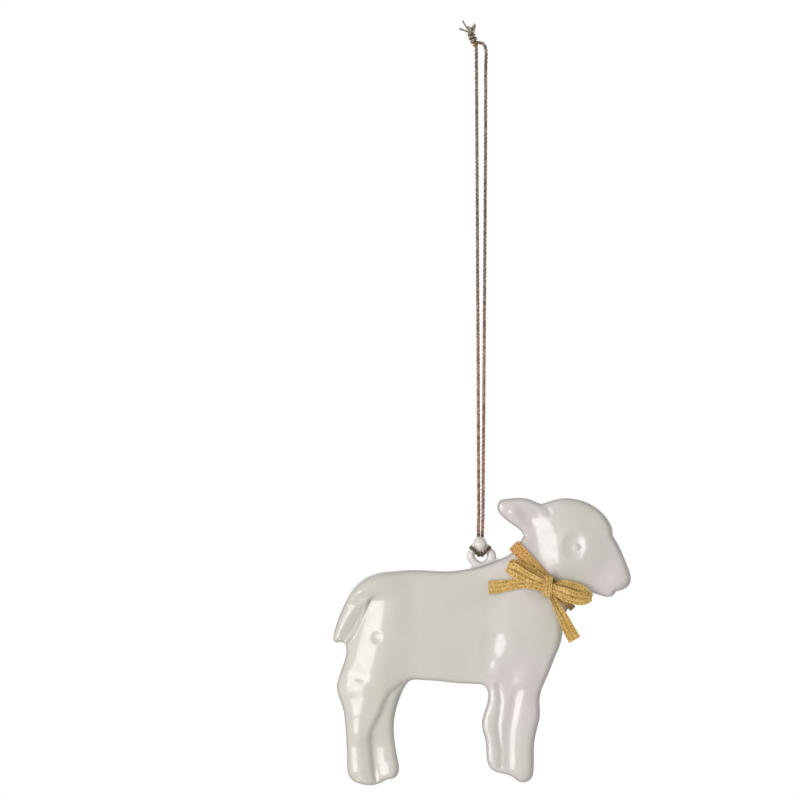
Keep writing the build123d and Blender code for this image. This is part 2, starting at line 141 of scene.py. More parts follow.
outline_spacing = 1.15
outline = np.vstack([natural_cubic(stretch, outline_spacing)[:-1] for stretch in outline_stretches])
shell_low, shell_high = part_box("near_half_shell")
pixel = (shell_high.x - shell_low.x) / np.ptp(outline[:, 0])
print("one pixel is", round(pixel / mm, 4), "mm; the outline has", len(outline), "points")


def place(points, depth):
    """Points of the row frame for photograph pixels, at depths towards the camera, in metres."""
    points = np.asarray(points, float)
    x = shell_low.x + (points[..., 0] - outline[:, 0].min()) * pixel
    z = shell_high.z - (points[..., 1] - outline[:, 1].min()) * pixel
    y = np.broadcast_to(-np.asarray(depth, float), x.shape)
    return np.stack([x, y, z], axis=-1)


# %% [markdown]
# The camera stands level, far off, and looks along +Y. Product photographs are taken with a long lens, which
# hardly shrinks what lies further back, so pixels of the photograph are millimetres of the lamb.

# %% The camera
camera_distance = 1.4
frame_pixels = 800
camera_data = bpy.data.cameras.new("camera")
camera = bpy.data.objects.new("camera", camera_data)
scene.collection.objects.link(camera)
centre = place((frame_pixels / 2, frame_pixels / 2), 0)
camera.location = (centre[0], -camera_distance, centre[2])
camera.rotation_euler = (math.pi / 2, 0, 0)
camera_data.lens = camera_data.sensor_width * camera_distance / (frame_pixels * pixel)
camera_data.clip_end = 100
scene.camera = camera
print("lens", round(camera_data.lens), "mm")

# %% [markdown]
# Meshes come from whole arrays. A grid of points with rows along a path and columns around a section is
# enough for every cord and ribbon here, and its faces follow from the two counts alone. Both ends are closed
# with a flat cap. The volume's sign tells whether the faces point outwards, and they are turned if not.


# %% From arrays to pieces
def new_piece(name, points, faces):
    """A mesh object at the origin, smooth shaded, from an array of points and a list of faces."""
    mesh = bpy.data.meshes.new(name)
    mesh.from_pydata(np.asarray(points).tolist(), [], faces)
    mesh.polygons.foreach_set("use_smooth", np.ones(len(faces), bool))
    mesh.update()
    piece = bpy.data.objects.new(name, mesh)
    scene.collection.objects.link(piece)
    return piece


def add_attribute(piece, name, values):
    """Stores one number, or one vector, for each vertex."""
    values = np.asarray(values, np.float32)
    kind = "FLOAT" if values.ndim == 1 else "FLOAT_VECTOR"
    field = "value" if values.ndim == 1 else "vector"
    piece.data.attributes.new(name, kind, "POINT").data.foreach_set(field, values.ravel())


def grid_faces(rows, around, closed):
    """Quads over a grid whose columns go round a section; rows join up if closed, and get caps if not."""
    last = rows if closed else rows - 1
    r, c = np.meshgrid(np.arange(last), np.arange(around), indexing="ij")
    r_next, c_next = (r + 1) % rows, (c + 1) % around
    corners = [r * around + c, r * around + c_next, r_next * around + c_next, r_next * around + c]
    faces = np.stack(corners, axis=-1).reshape(-1, 4).tolist()
    if not closed:
        faces.append(list(range(around))[::-1])
        faces.append([(rows - 1) * around + i for i in range(around)])
    return faces


def outward(points, faces):
    """The same faces, turned if the volume under them is negative: the sum of p0 . (p1 x p2) / 6."""
    quads = np.array([f for f in faces if len(f) == 4])
    p = points - points.mean(axis=0)
    halves = np.vstack([quads[:, [0, 1, 2]], quads[:, [0, 2, 3]]])
    volume = np.einsum("ij,ij->", p[halves[:, 0]], np.cross(p[halves[:, 1]], p[halves[:, 2]]))
    return faces if volume > 0 else [f[::-1] for f in faces]


def joined(parts):
    """One array of points and one list of faces for several pairs of them."""
    points, faces = [], []
    for part_points, part_faces in parts:
        base = sum(len(p) for p in points)
        faces += [[i + base for i in f] for f in part_faces]
        points.append(part_points)
    return np.vstack(points), faces


def unit(vectors):
    """Vectors of length 1."""
    return vectors / np.linalg.norm(vectors, axis=-1, keepdims=True)


# %% [markdown]
# The cord is one length of fine twisted thread with a metallic ply. It's hitched on the eye, runs up in two
# strands and ends in a knot. Its routes are the CAD model's own, and a NURBS curve draws one smooth line
# along each of them. The twist is then wound round that line: each of three plies follows a helix, so the
# cord has real grooves that catch the light, where a plain tube with a striped picture would not.

# %% The routes of the cord
strand_left_route = [
    (-1.35, 0, 0.2), (-1.19, 0.02, -22), (-1.05, -0.03, -52), (-0.86, 0.02, -82), (-0.70, 0, -122.4),
]
strand_right_route = [
    (-1.10, 0, 0.62), (-0.1, 0.02, 0.66), (0.86, 0.05, 0.02), (1.28, 0.03, -1.6), (1.08, 0, -5.0),
    (1.10, -0.03, -20), (0.92, 0.03, -48), (0.68, -0.02, -84), (0.40, 0, -122.4),
]
hitch_half_route = [
    (0.53, 0, 3.55), (0.51, 0.9, 2.75), (0.46, 2.25, 1.5), (0.46, 2.55, -0.4), (0.46, 1.7, -2.05),
    (0.44, -0.1, -2.75), (0.43, -1.75, -2.8), (1.25, -2.1, -1.9), (2.0, -1.8, -0.95),
    (2.5, -0.6, -0.85), (2.4, 0.9, -0.75), (1.3, 2.8, 0.1), (0.45, 3.4, 1.2),
]
hitch_middle = (-0.29, -129.9)  # X and Z


def smooth_line(route):
    """Points of a NURBS curve of order 3 with the route's points, in mm, as its control points."""
    curve = bpy.data.curves.new("route", "CURVE")
    curve.dimensions = "3D"
    spline = curve.splines.new("NURBS")
    spline.points.add(len(route) - 1)
    weighted = np.column_stack([np.array(route, float) * mm, np.ones(len(route))])
    spline.points.foreach_set("co", weighted.ravel())
    spline.order_u = 3
    spline.use_endpoint_u = True
    spline.resolution_u = 24
    holder = bpy.data.objects.new("route", curve)
    mesh = bpy.data.meshes.new_from_object(holder)
    points = np.zeros(len(mesh.vertices) * 3)
    mesh.vertices.foreach_get("co", points)
    bpy.data.objects.remove(holder)
    bpy.data.meshes.remove(mesh)
    return points.reshape(-1, 3)


def interpolated(rows, along, wanted):
    """Rows of numbers that belong to distances along a line, at other distances along it."""
    return np.stack([np.interp(wanted, along, column) for column in rows.T], axis=1)


def resample(points, spacing):
    """The same line with points an even distance apart, and the distance along it of each."""
    points = points[np.concatenate([[True], np.diff(distances_along(points)) > 1e-9])]
    along = distances_along(points)
    wanted = np.linspace(0, along[-1], max(3, int(round(along[-1] / spacing)) + 1))
    return interpolated(points, along, wanted), wanted


def carried_frame(line):
    """Two unit vectors square to the line at each point, carried along it without turning about it."""
    tangent = unit(np.gradient(line, axis=0))
    first = np.zeros_like(line)
    first[0] = unit(np.cross(tangent[0], (0.0, 1.0, 0.02)))
    for i in range(1, len(line)):
        carried = first[i - 1] - tangent[i] * (first[i - 1] @ tangent[i])
        first[i] = carried / np.linalg.norm(carried)
    return first, np.cross(tangent, first)


plies = 3
twist_pitch = 3.1  # length of one full turn of the plies
ply_radius = 0.25
ply_offset = 0.21
ply_sides = 8
ring_angles = np.arange(ply_sides) * 2 * math.pi / ply_sides
line_spacing = 0.22


def spokes(first, second, angles):
    """Unit vectors at some angles about each point of a line: cos a first + sin a second."""
    return np.cos(angles)[..., None] * first[:, None] + np.sin(angles)[..., None] * second[:, None]


def twisted_cord(name, line, start=0.0):
    """Plies wound round a line, in metres.

    Ply k has its middle at the line plus offset (cos a N + sin a B), with a = 2 pi (s / pitch + k / plies),
    where s is the distance along the line and N, B are square to it. The ply is a round tube about that.
    """
    middle, s = resample(line, line_spacing * mm)
    first, second = carried_frame(middle)
    tubes, from_axis = [], []
    for k in range(plies):
        angle = 2 * math.pi * ((s / mm + start) / twist_pitch + k / plies)[:, None]
        out = ply_offset * spokes(first, second, angle)
        out = out + ply_radius * spokes(first, second, angle + ring_angles)
        tube = (middle[:, None] + mm * out).reshape(-1, 3)
        tubes.append((tube, outward(tube, grid_faces(len(middle), ply_sides, False))))
        from_axis.append(np.linalg.norm(out, axis=2).ravel() / (ply_offset + ply_radius))
    cord = new_piece(name, *joined(tubes))
    add_attribute(cord, "from_axis", np.concatenate(from_axis))
    return cord


# %% The strands, from the eye up to the knot
left_line = smooth_line(strand_left_route[::-1])
right_line = smooth_line(strand_right_route[::-1])
strand_left = twisted_cord("cord_left", left_line)
right_phase = 1.4  # mm of twist, so that the two strands don't match
strand_right = twisted_cord("cord_right", right_line, right_phase)


def line_length(line):
    """Length of a line of points, in mm."""
    return float(distances_along(line)[-1]) / mm


print("strands in mm:", round(line_length(left_line), 1), round(line_length(right_line), 1))

# %% [markdown]
# Under the strands the cord bends where the lamb rocks and tips, so that stretch is cut at the middle of the
# short neck. The hitch goes down behind the crown of the eye, comes out through its hole and crosses the
# front of the crown on both sides.

# %% The neck and the hitch
neck_cut = -125.16  # Z between the two joints of the neck
neck_parts = []
hitch_x, _, hitch_z = hitch_half_route[0]
for side, strand, way, phase in (
    ("left", strand_left_route, -1, 0.0), ("right", strand_right_route, 1, right_phase),
):
    x_top, _, z_top = strand[-1]
    x_low, z_low = hitch_middle[0] + way * hitch_x, hitch_middle[1] + hitch_z
    x_cut = x_top + (x_low - x_top) * (z_top - neck_cut) / (z_top - z_low)
    top, cut, low = (x_top, 0, z_top), (x_cut, 0, neck_cut), (x_low, 0, z_low)
    for level, ends in (("upper", (cut, top)), ("lower", (low, cut))):
        line = np.array(ends) * mm
        length = line_length(line)
        gone = 0 if level == "upper" else z_top - neck_cut
        neck_parts.append((level, twisted_cord(f"neck_{level}_{side}", line, phase - gone - length)))
hitch_right = [(hitch_middle[0] + x, y, hitch_middle[1] + z) for x, y, z in hitch_half_route]
hitch_left = [(hitch_middle[0] - x, y, hitch_middle[1] + z) for x, y, z in hitch_half_route]
hitch_line = smooth_line(hitch_right + hitch_left[::-1])
hitch = twisted_cord("hitch", hitch_line)
print("hitch in mm:", round(line_length(hitch_line), 1))

# %% [markdown]
# A knot in so fine a cord is a small barrel: the end wraps round the two strands a few times. One helix
# whose radius swells in the middle gives that, wound with the same plies. The two cut ends stand out of its
# top as a loose tuft, with two stray filaments that the photograph shows against the white.

# %% The knot and the frayed ends
knot_low = place((476.2, 45.6), 0)
knot_top = place((469.2, 31.0), 0)
knot_turns = 3.4
knot_radius = 0.72
knot_axis = unit(knot_top - knot_low)
knot_side = unit(np.cross(knot_axis, (0, 1, 0)))
knot_front = np.cross(knot_axis, knot_side)


def knot_line(samples=160):
    """A helix from near the low end of the knot to near the high one, whose radius swells as a sine."""
    t = np.linspace(0, 1, samples)[:, None]
    radius = knot_radius * mm * (0.45 + 0.55 * np.sin(math.pi * (0.1 + 0.8 * t)))
    angle = 2 * math.pi * knot_turns * t
    middle = knot_low + (knot_top - knot_low) * (0.05 + 0.83 * t)
    return middle + radius * (np.cos(angle) * knot_side + np.sin(angle) * knot_front)


knot = twisted_cord("knot", knot_line())
stray_ends = [  # root and tip pixels, bend in pixels, thickness as a share of a ply
    ((467.8, 29.5), (462.7, 20.5), 0.2, 0.66),
    ((468.8, 32.6), (459.3, 28.7), -0.3, 0.80),
]
stub_ends = [((469.8, 34.5), (468.6, 27.6)), ((471.6, 34), (471.2, 28)), ((473.4, 33.5), (474.0, 25.2))]
stub_threads = 9
stub_share = 0.72  # thickness of a thread as a share of a ply
tip_spread = 0.75  # pixels
tip_depth = 0.28  # mm


def tapered_thread(line, radius, taper):
    """Points and faces of a round thread whose radius falls evenly to a share, taper, at its tip."""
    middle, s = resample(line, line_spacing * mm)
    width = radius * (1 - (1 - taper) * s / s[-1])
    ring = spokes(*carried_frame(middle), ring_angles)
    points = (middle[:, None] + width[:, None, None] * ring).reshape(-1, 3)
    return points, outward(points, grid_faces(len(middle), ply_sides, False))


def frayed_ends():
    """The cut ends, each of splayed threads, and the stray filaments, which are thicker at their tips."""
    random = np.random.default_rng(7)
    threads = []
    for root, tip in np.array(stub_ends):
        for k in range(stub_threads):
            spread = random.normal(0, tip_spread, 2)
            depth = random.normal(0, tip_depth) * mm
            bow = (root + tip) / 2 + spread * 0.5
            end = tip + spread + (0, random.uniform(-1.2, 1.2))
            line = place(natural_cubic([root, bow, end], 0.5), 0)
            line[:, 1] += depth * np.linspace(0.4, 1, len(line))
            threads.append(tapered_thread(line, ply_radius * stub_share * mm, 0.7))
    for root, tip, bend, share in stray_ends:
        across = unit(np.array([tip[1] - root[1], root[0] - tip[0]]))
        middle = (np.array(root) + np.array(tip)) / 2 + bend * across
        line = place(natural_cubic([root, middle, tip], 0.5), 0)
        threads.append(tapered_thread(line, ply_radius * share * mm, 1.3))
    tuft = new_piece("frayed_ends", *joined(threads))
    add_attribute(tuft, "from_axis", np.full(len(tuft.data.vertices), 0.8))
    return tuft


ends = frayed_ends()
print("knot and ends:", len(knot.data.vertices) + len(ends.data.vertices), "vertices")

# %% [markdown]
# The pressing is a height over the seam for every place inside the outline. Broad swells make the barrel,
# haunch, shoulder and head. Hills, hollows, ridges and creases on top of them make the eye, the ear, the
# tail and the folds between the legs. Every feature is the same smooth bump, (1 - r squared) squared, of the
# distance r from a point or a line, so the enamel has no sharp step anywhere but at its rim.

# %% The relief: broad swells
half_depth = 4.9
rim_height = 1.2
base_share = 0.50
swell_limit = 0.84
swell_shares = [  # centre, reach along, reach across, lean in degrees, height as a share of half_depth
    ((437, 628), 110, 62, 0, 0.30),
    ((385, 625), 46, 60, -8, 0.34),
    ((366, 688), 26, 56, 6, 0.30),
    ((520, 630), 56, 70, 10, 0.36),
    ((530, 580), 58, 50, 45, 0.28),
    ((556, 558), 34, 34, 0, 0.28),
    ((578, 540), 52, 48, 35, 0.32),
    ((612, 574), 26, 26, 0, 0.12),
]

# %% The relief: hills and hollows, in pixels, with heights in mm
hills = [  # centre, reach along, reach across, lean in degrees, height
    ((376, 694), 30, 40, 0, 0.12),  # stifle
    ((359, 675), 13, 9, 20, -0.36),  # hollow over the stifle
    ((376.5, 636.5), 7.5, 8.5, 15, -0.42),  # dimple on the haunch
    ((491, 644), 15, 20, 12, -0.38),  # hollow behind the shoulder
    ((511, 645), 16, 20, 14, 0.28),  # point of the shoulder
    ((498, 668), 11, 13, 0, 0.25),
    ((525, 683), 15, 24, 10, 0.55),  # forearm
    ((580, 559), 34, 42, 0, 0.80),  # cheek
    ((572, 522), 20, 22, 20, 0.12),  # temple
    ((576.4, 546.9), 4.2, 4.2, 0, 0.66),  # eyeball
    ((517, 513), 10, 7, 20, 0.6),  # tip of the ear
    ((618, 578), 14, 12, 60, 0.25),  # lip
]
eye_socket = ((573.5, 545.5), 13.5, 17.5, 8)
eye_socket_depth = 0.84

# %% The relief: ridges and creases, in pixels, with heights in mm
leg_crease = [
    (402, 683), (390, 692), (384, 702), (380, 712), (375, 722), (371, 730), (370, 740), (371, 752),
    (373, 766), (375, 782),
]
foreleg_crease = [
    (498, 684), (500, 700), (499, 712), (497, 724), (498.5, 738), (500.5, 750), (500, 766),
]
tail_crease = [(369, 600), (364, 611), (359, 622), (353, 634), (347, 643)]
folds = [  # points, reach, height
    ([(372, 744), (373, 752)], 14, -0.50),  # between the hooves
    ([(376, 768), (377, 776)], 15, -0.70),
    (leg_crease, 4.5, -0.45),
    (foreleg_crease, 4.6, -0.33),
    ([(518, 690), (514.5, 702), (511.5, 716), (508.5, 730), (507.5, 745), (507.5, 764)], 7, -0.32),
    ([(526, 700), (523, 740), (522, 772)], 13, 0.35),  # near foreleg
    ([(521, 513), (525, 515), (530, 517.5)], 11, -0.62),  # hollow of the ear
    ([(532, 531), (535, 540), (536, 550), (538, 561), (541, 573), (543, 585)], 22, -0.78),  # behind the cheek
    ([(541, 503), (548, 512)], 6, -0.15),  # root of the ear
    ([(629, 583), (617, 589.5)], 4, -0.35),  # mouth
]


def bump(r, power=2):
    """A smooth hill of height 1 that ends at r = 1: (1 - r to the power) squared."""
    return (1 - np.minimum(r, 1) ** power) ** 2


def step(value, start=0, width=1):
    """A smooth step from 0 to 1 that begins at a start and takes a width: t squared times (3 - 2 t)."""
    t = np.clip((value - start) / width, 0, 1)
    return t * t * (3 - 2 * t)


def bell(t):
    """exp(-t squared)."""
    return np.exp(-(t**2))


def distance_to_line(x, y, points, closed=False):
    """Distance of each place from a line of straight pieces."""
    ends = np.array(points, float)
    nexts = np.roll(ends, -1, axis=0) if closed else ends[1:]
    nearest = np.full(np.shape(x), np.inf)
    for (ax, ay), (bx, by) in zip(ends, nexts):
        dx, dy = bx - ax, by - ay
        t = np.clip(((x - ax) * dx + (y - ay) * dy) / (dx * dx + dy * dy), 0, 1)
        nearest = np.minimum(nearest, (x - ax - t * dx) ** 2 + (y - ay - t * dy) ** 2)
    return np.sqrt(nearest)


def inside(x, y, loop):
    """Whether a ray to the right of each place crosses a closed loop an odd number of times."""
    crossed = np.zeros(np.shape(x), bool)
    for (ax, ay), (bx, by) in zip(loop, np.roll(loop, -1, axis=0)):
        if ay != by:
            crossed ^= ((ay > y) != (by > y)) & (x < (y - ay) * (bx - ax) / (by - ay) + ax)
    return crossed


def leaning_hill(x, y, centre, along, across, lean, power=2):
    """A bump of the distance from a centre, in ellipses leant by some degrees."""
    turn = math.radians(lean)
    u = (x - centre[0]) * math.cos(turn) + (y - centre[1]) * math.sin(turn)
    v = (y - centre[1]) * math.cos(turn) - (x - centre[0]) * math.sin(turn)
    return bump(np.hypot(u / along, v / across), power)


# %% The relief: full height
haunch_levels = [600, 620, 634, 652, 680, 698, 713, 733, 747, 790]  # pixel heights
haunch_reaches = [52, 45, 43, 43, 39, 31, 20, 16, 14, 13]  # pixels from the line to the full height
haunch_heights = [4.75, 4.7, 4.7, 4.7, 4.3, 3.9, 3.6, 3.2, 2.5, 2.6]  # mm, before the hills
swell_softness = 14.0
haunch_fade = (376, 44)  # pixel x where the lifted haunch starts to fade, and pixels to its end
far_leg_drop = 0.85  # mm, as the far hind leg lies behind the near one
far_leg_slope = 4.5  # pixels from the crease to the full drop
far_leg_top = (684, 26)  # pixel y where the drop begins, and pixels to all of it
far_leg_end = (740, 50)  # pixel y where it starts to go, and pixels to its end
far_leg_loop = np.array(leg_crease + [(375, 800), (420, 800), (420, 683)], float)


def full_height(x, y):
    """Height of the pressing away from its edge, in mm.

    The swells add up as the cube root of the sum of their cubes, so that the largest leads, and a smooth
    minimum, -log(exp(-k r) + exp(-k limit)) / k, keeps them under a limit. The haunch is lifted to a level
    of its own that fades out to its right. Hills and folds come on top, and right of the crease between the
    hind legs the surface steps down to the far leg.
    """
    cubes = sum((s * leaning_hill(x, y, c, a, b, lean)) ** 3 for c, a, b, lean, s in swell_shares)
    swell = base_share + np.cbrt(cubes)
    k = swell_softness
    height = -np.log(np.exp(-k * swell) + math.exp(-k * swell_limit)) / k * half_depth
    lifted = np.interp(y, haunch_levels, haunch_heights)
    height += np.maximum(lifted - height, 0) * (1 - step(x, *haunch_fade))
    for centre, along, across, lean, rise in hills:
        height += rise * leaning_hill(x, y, centre, along, across, lean)
    height -= eye_socket_depth * leaning_hill(x, y, *eye_socket, power=2.5)
    for points, reach, rise in folds:
        height += rise * bump(distance_to_line(x, y, points) / reach)
    behind = np.where(inside(x, y, far_leg_loop), distance_to_line(x, y, leg_crease), 0)
    share = step(behind / far_leg_slope) * step(y, *far_leg_top) * (1 - step(y, *far_leg_end))
    return height - far_leg_drop * share


# %% [markdown]
# The edge of the pressing rolls over in a tight quarter round nearly everywhere. The haunch is different:
# from the crease under the tail and from the back of the leg it rises in a long slope, which is what draws
# the widest highlight of all. The tail is a flap with two flat sides and a soft ridge.

# %% The relief: edges, haunch and tail
edge_reach = 2.3  # mm from the outline to where the edge has rolled up to the full height
lip_reach = 0.9
lip_share = 0.22
haunch_line = [
    (363, 588), (358.8, 604), (355, 620), (350.5, 634), (347.5, 645), (345, 658), (341, 671), (337.2, 684),
    (338, 693.2), (342.3, 705.5), (344.9, 720), (346.6, 744), (347.2, 762), (348.4, 774), (352.5, 779.8),
]
haunch_power = 2.2
haunch_start = (586, 16)  # pixel y where the long slope begins, and pixels to all of it
haunch_lip_share = 0.06
crease_blend = 3  # pixels over which the tail gives way to the haunch
tail_loop = np.array(tail_crease + [(341, 650), (322, 650), (322, 600)], float)
tail_root = tail_crease[0]
tail_ridge = [(366, 600.5), (352.5, 610.3), (346.5, 620), (341.7, 629.5), (338.3, 638)]
tail_levels = [600, 610, 620, 632, 640]  # pixel heights
tail_heights = [3.9, 2.9, 2.45, 1.95, 1.7]  # mm, along the ridge
tail_outer, tail_inner = 0.60, 0.36  # slopes of the tail on the two sides of its ridge
tail_round = 2.0  # pixels, how soft the ridge is
tail_least = 0.2  # mm over the rim
tail_start = (590, 16)  # pixel y where the flap begins, and pixels to all of it
tail_bounds = (385, 650)  # pixels x and y that the tail doesn't pass
tail_swell = ((364, 602.5), 4, 4, 0)  # a small hill at its root
tail_swell_height = 0.2


def quarter_round(t):
    """sqrt(1 - (1 - t) squared), which rises steeply from 0 and ends level at 1."""
    return np.sqrt(1 - (1 - np.clip(t, 0, 1)) ** 2)


def pressed_height(x, y, edge):
    """Height over the seam, in mm, at pixel places that lie some pixels from the outline.

    The rim rolls up by a quarter round to the full height. Beside the haunch line the roll is no more than
    1 - (1 - t) to a power, over a much longer reach. The tail falls away on both sides of its ridge, by a
    slope times sqrt(d squared + r squared) - r, where d is the distance from the ridge and r makes it soft.
    """
    scale = pixel / mm
    roll = quarter_round(edge * scale / edge_reach)
    reach = np.interp(y, haunch_levels, haunch_reaches)
    left = 1 - np.clip(distance_to_line(x, y, haunch_line) / reach, 0, 1)
    width = 1 + np.maximum(tail_root[1] - y, 0)
    past_root = step(0.5 + (x - tail_root[0] - (tail_root[1] - y)) / (2 * width))
    from_crease = distance_to_line(x, y, tail_crease) * np.where(inside(x, y, tail_loop), -1, 1)
    haunch_side = np.where(y < tail_root[1], past_root, step(0.5 + from_crease / crease_blend))
    beside = haunch_side * step(y, *haunch_start)
    roll = np.minimum(roll, 1 - left**haunch_power * beside)
    lip = quarter_round(edge * scale / lip_reach)
    part = lip_share + (haunch_lip_share - lip_share) * step(2 * left) * beside
    height = rim_height + (full_height(x, y) - rim_height) * (part * lip + (1 - part) * roll)
    away = distance_to_line(x, y, tail_ridge)
    ridge_x = np.interp(y, *np.array(tail_ridge)[:, ::-1].T)
    fall = np.where(x < ridge_x, tail_outer, tail_inner) * scale * (np.hypot(away, tail_round) - tail_round)
    ridge_height = np.interp(y, tail_levels, tail_heights)
    ridge_height += tail_swell_height * leaning_hill(x, y, *tail_swell)
    flap = rim_height + lip * np.maximum(ridge_height - fall - rim_height, tail_least)
    share = np.where(x < tail_bounds[0], 1 - haunch_side, 0) * step(y, *tail_start) * (y < tail_bounds[1])
    return height * (1 - share) + flap * share


# Painted shade: the creases between the legs, under the tail, at the root of the ear and at the mouth are
# greyed in the colour, as shade falls in them.
painted_crease_shade = [  # points, width in pixels, share of grey
    (leg_crease, 1.7, 0.75), (foreleg_crease, 1.3, 0.35), (tail_crease, 1.6, 0.35),
    ([(541, 504), (548, 513)], 2.2, 0.45), ([(629, 583), (617, 589.5)], 1.5, 0.5),
]
# The rim is greyed partly for enamel run thin over it and partly as painted shade. Where it faces right, away
# from the strip light, the wider grey is painted shade.
thin_rim_and_shade_grey = 0.9
thin_rim_and_shade_width = 0.42  # mm
right_rim_painted_shade = 0.62  # as a share of thin_rim_and_shade_grey
right_rim_shade_width = 0.5
right_shift = 2.6  # pixels by which the grey is wider where the rim faces right


def depth_inside(x, y):
    """Distance from the outline in pixels, and 0 outside it."""
    return np.where(inside(x, y, outline), distance_to_line(x, y, outline, closed=True), 0)


def thin_rim_and_painted_shade(x, y, edge):
    """How grey the enamel is painted: thin enamel and painted shade along the rim, and painted shade in the
    sharp creases, by a bell of the distance.
    """
    scale = pixel / mm
    right = right_rim_painted_shade * bell(depth_inside(x + right_shift, y) * scale / right_rim_shade_width)
    grey = thin_rim_and_shade_grey * np.maximum(bell(edge * scale / thin_rim_and_shade_width), right)
    for line, width, share in painted_crease_shade:
        grey = np.maximum(grey, share * bell(distance_to_line(x, y, line) / width))
    return grey


# %% [markdown]
# Triangles of even size carry such a surface best. The outline, a few rows just inside it where the edge
# turns over, and a lattice of places further in go to a constrained triangulation, which keeps the outline.
# What lies outside it is then dropped.


# %% Triangulate the inside of the outline
def inset_rows(loop, distances):
    """The loop's points moved in by each distance, without those that come too near another stretch."""
    ahead = np.roll(loop, -1, axis=0) - np.roll(loop, 1, axis=0)
    inward = unit(np.stack([-ahead[:, 1], ahead[:, 0]], axis=1))
    probe = loop + 0.5 * inward
    if inside(probe[:, 0], probe[:, 1], loop).mean() < 0.5:
        inward = -inward
    rows = []
    for distance in distances:
        moved = loop + distance * inward
        far = distance_to_line(moved[:, 0], moved[:, 1], loop, closed=True)
        keep = (far > 0.86 * distance) & inside(moved[:, 0], moved[:, 1], loop)
        rows.append(moved[keep])
    return np.vstack(rows)


def lattice(loop, pitch, margin):
    """Places of a lattice of even triangles inside a loop, at least a margin from it."""
    low, high = loop.min(axis=0), loop.max(axis=0)
    down = np.arange(low[1], high[1], pitch * math.sqrt(3) / 2)
    across = np.arange(low[0], high[0], pitch)
    x, y = np.meshgrid(across, down)
    x = (x + pitch / 2 * (np.arange(len(down))[:, None] % 2)).ravel()
    y = y.ravel()
    held = inside(x, y, loop)
    x, y = x[held], y[held]
    clear = distance_to_line(x, y, loop, closed=True) > margin
    return np.stack([x[clear], y[clear]], axis=1)


def triangulate(loops, inner):
    """Triangles over the inner places and the loops, which are kept as edges; a second loop is a hole."""
    points = np.vstack(loops + [inner])
    edges, first = [], 0
    for loop in loops:
        edges += [(first + i, first + (i + 1) % len(loop)) for i in range(len(loop))]
        first += len(loop)
    result = geometry.delaunay_2d_cdt([Vector(p) for p in points.tolist()], edges, [], 1, 1e-6)
    spots = np.array([tuple(v) for v in result[0]])
    faces = np.array(result[2])
    middle = spots[faces].mean(axis=1)
    keep = inside(middle[:, 0], middle[:, 1], loops[0])
    for hole in loops[1:]:
        keep &= ~inside(middle[:, 0], middle[:, 1], hole)
    faces = faces[keep]
    a, b, c = spots[faces[:, 0]], spots[faces[:, 1]], spots[faces[:, 2]]
    ab, ac = b - a, c - a
    turned = ab[:, 0] * ac[:, 1] - ab[:, 1] * ac[:, 0] < 0
    faces[turned] = faces[turned][:, ::-1]
    return spots, faces


row_distances = (0.12, 0.4, 0.85, 1.5, 2.3)
lattice_pitch = 1.4
inner_spots = np.vstack([
    inset_rows(outline, row_distances),
    lattice(outline, lattice_pitch, row_distances[-1] + 0.6),
])
spots, triangles = triangulate([outline], inner_spots)
edge_distance = distance_to_line(spots[:, 0], spots[:, 1], outline, closed=True)
edge_distance[: len(outline)] = 0
print("pressing:", len(spots), "places,", len(triangles), "triangles")

# %% [markdown]
# One half is that surface, then a short straight rim down to the seam. Solidify gives the sheet its
# thickness, inwards, so the half is a real open shell. The far half is the same pressing mirrored.

# %% The two halves
seam_gap = 0.2
sheet_thickness = 0.6


def pressed_half(name, side):
    """A half shell on one side of the seam: -1 is the near side, towards the camera, and 1 the far side."""
    height = pressed_height(spots[:, 0], spots[:, 1], edge_distance)
    face = place(spots, height * mm)
    rim = face[: len(outline)].copy()
    rim[:, 1] = -seam_gap / 2 * mm
    points = np.vstack([face, rim])
    ring = np.arange(len(outline))
    ring_next = np.roll(ring, -1)
    ahead = np.roll(outline, -1, axis=0)
    if (outline[:, 0] * ahead[:, 1] - outline[:, 1] * ahead[:, 0]).sum() > 0:
        ring, ring_next = ring_next, ring
    wall = np.stack([ring, ring_next, ring_next + len(spots), ring + len(spots)], axis=1)
    faces = triangles.tolist() + wall.tolist()
    if side > 0:
        points[:, 1] *= -1
    shell = new_piece(name, points, faces)
    shell.data.calc_loop_triangles()
    sample = shell.data.polygons[len(triangles) // 2].normal
    if sample.y * side < 0:
        shell.data.flip_normals()
    # The grey attribute holds the thin rim and the painted shade of the rim and the creases. The short wall
    # down to the seam is grey all over.
    grey = thin_rim_and_painted_shade(spots[:, 0], spots[:, 1], edge_distance)
    add_attribute(shell, "grey", np.concatenate([grey, np.ones(len(rim))]))
    sheet = shell.modifiers.new("sheet", "SOLIDIFY")
    sheet.thickness = sheet_thickness * mm
    sheet.offset = -1
    return shell


near_half = pressed_half("near_half", -1)
far_half = pressed_half("far_half", 1)
print("halves:", len(near_half.data.polygons), "faces each, before the sheet gets its thickness")

# %% [markdown]
# The eye is wire and solder under enamel, so all its edges are round. It is made the same way as the lamb,
# from an outline, a hole and a rolled height, but on both sides at once. A round crown is pushed into its
# top, and a fine voxel remesh melts the two together as enamel would.

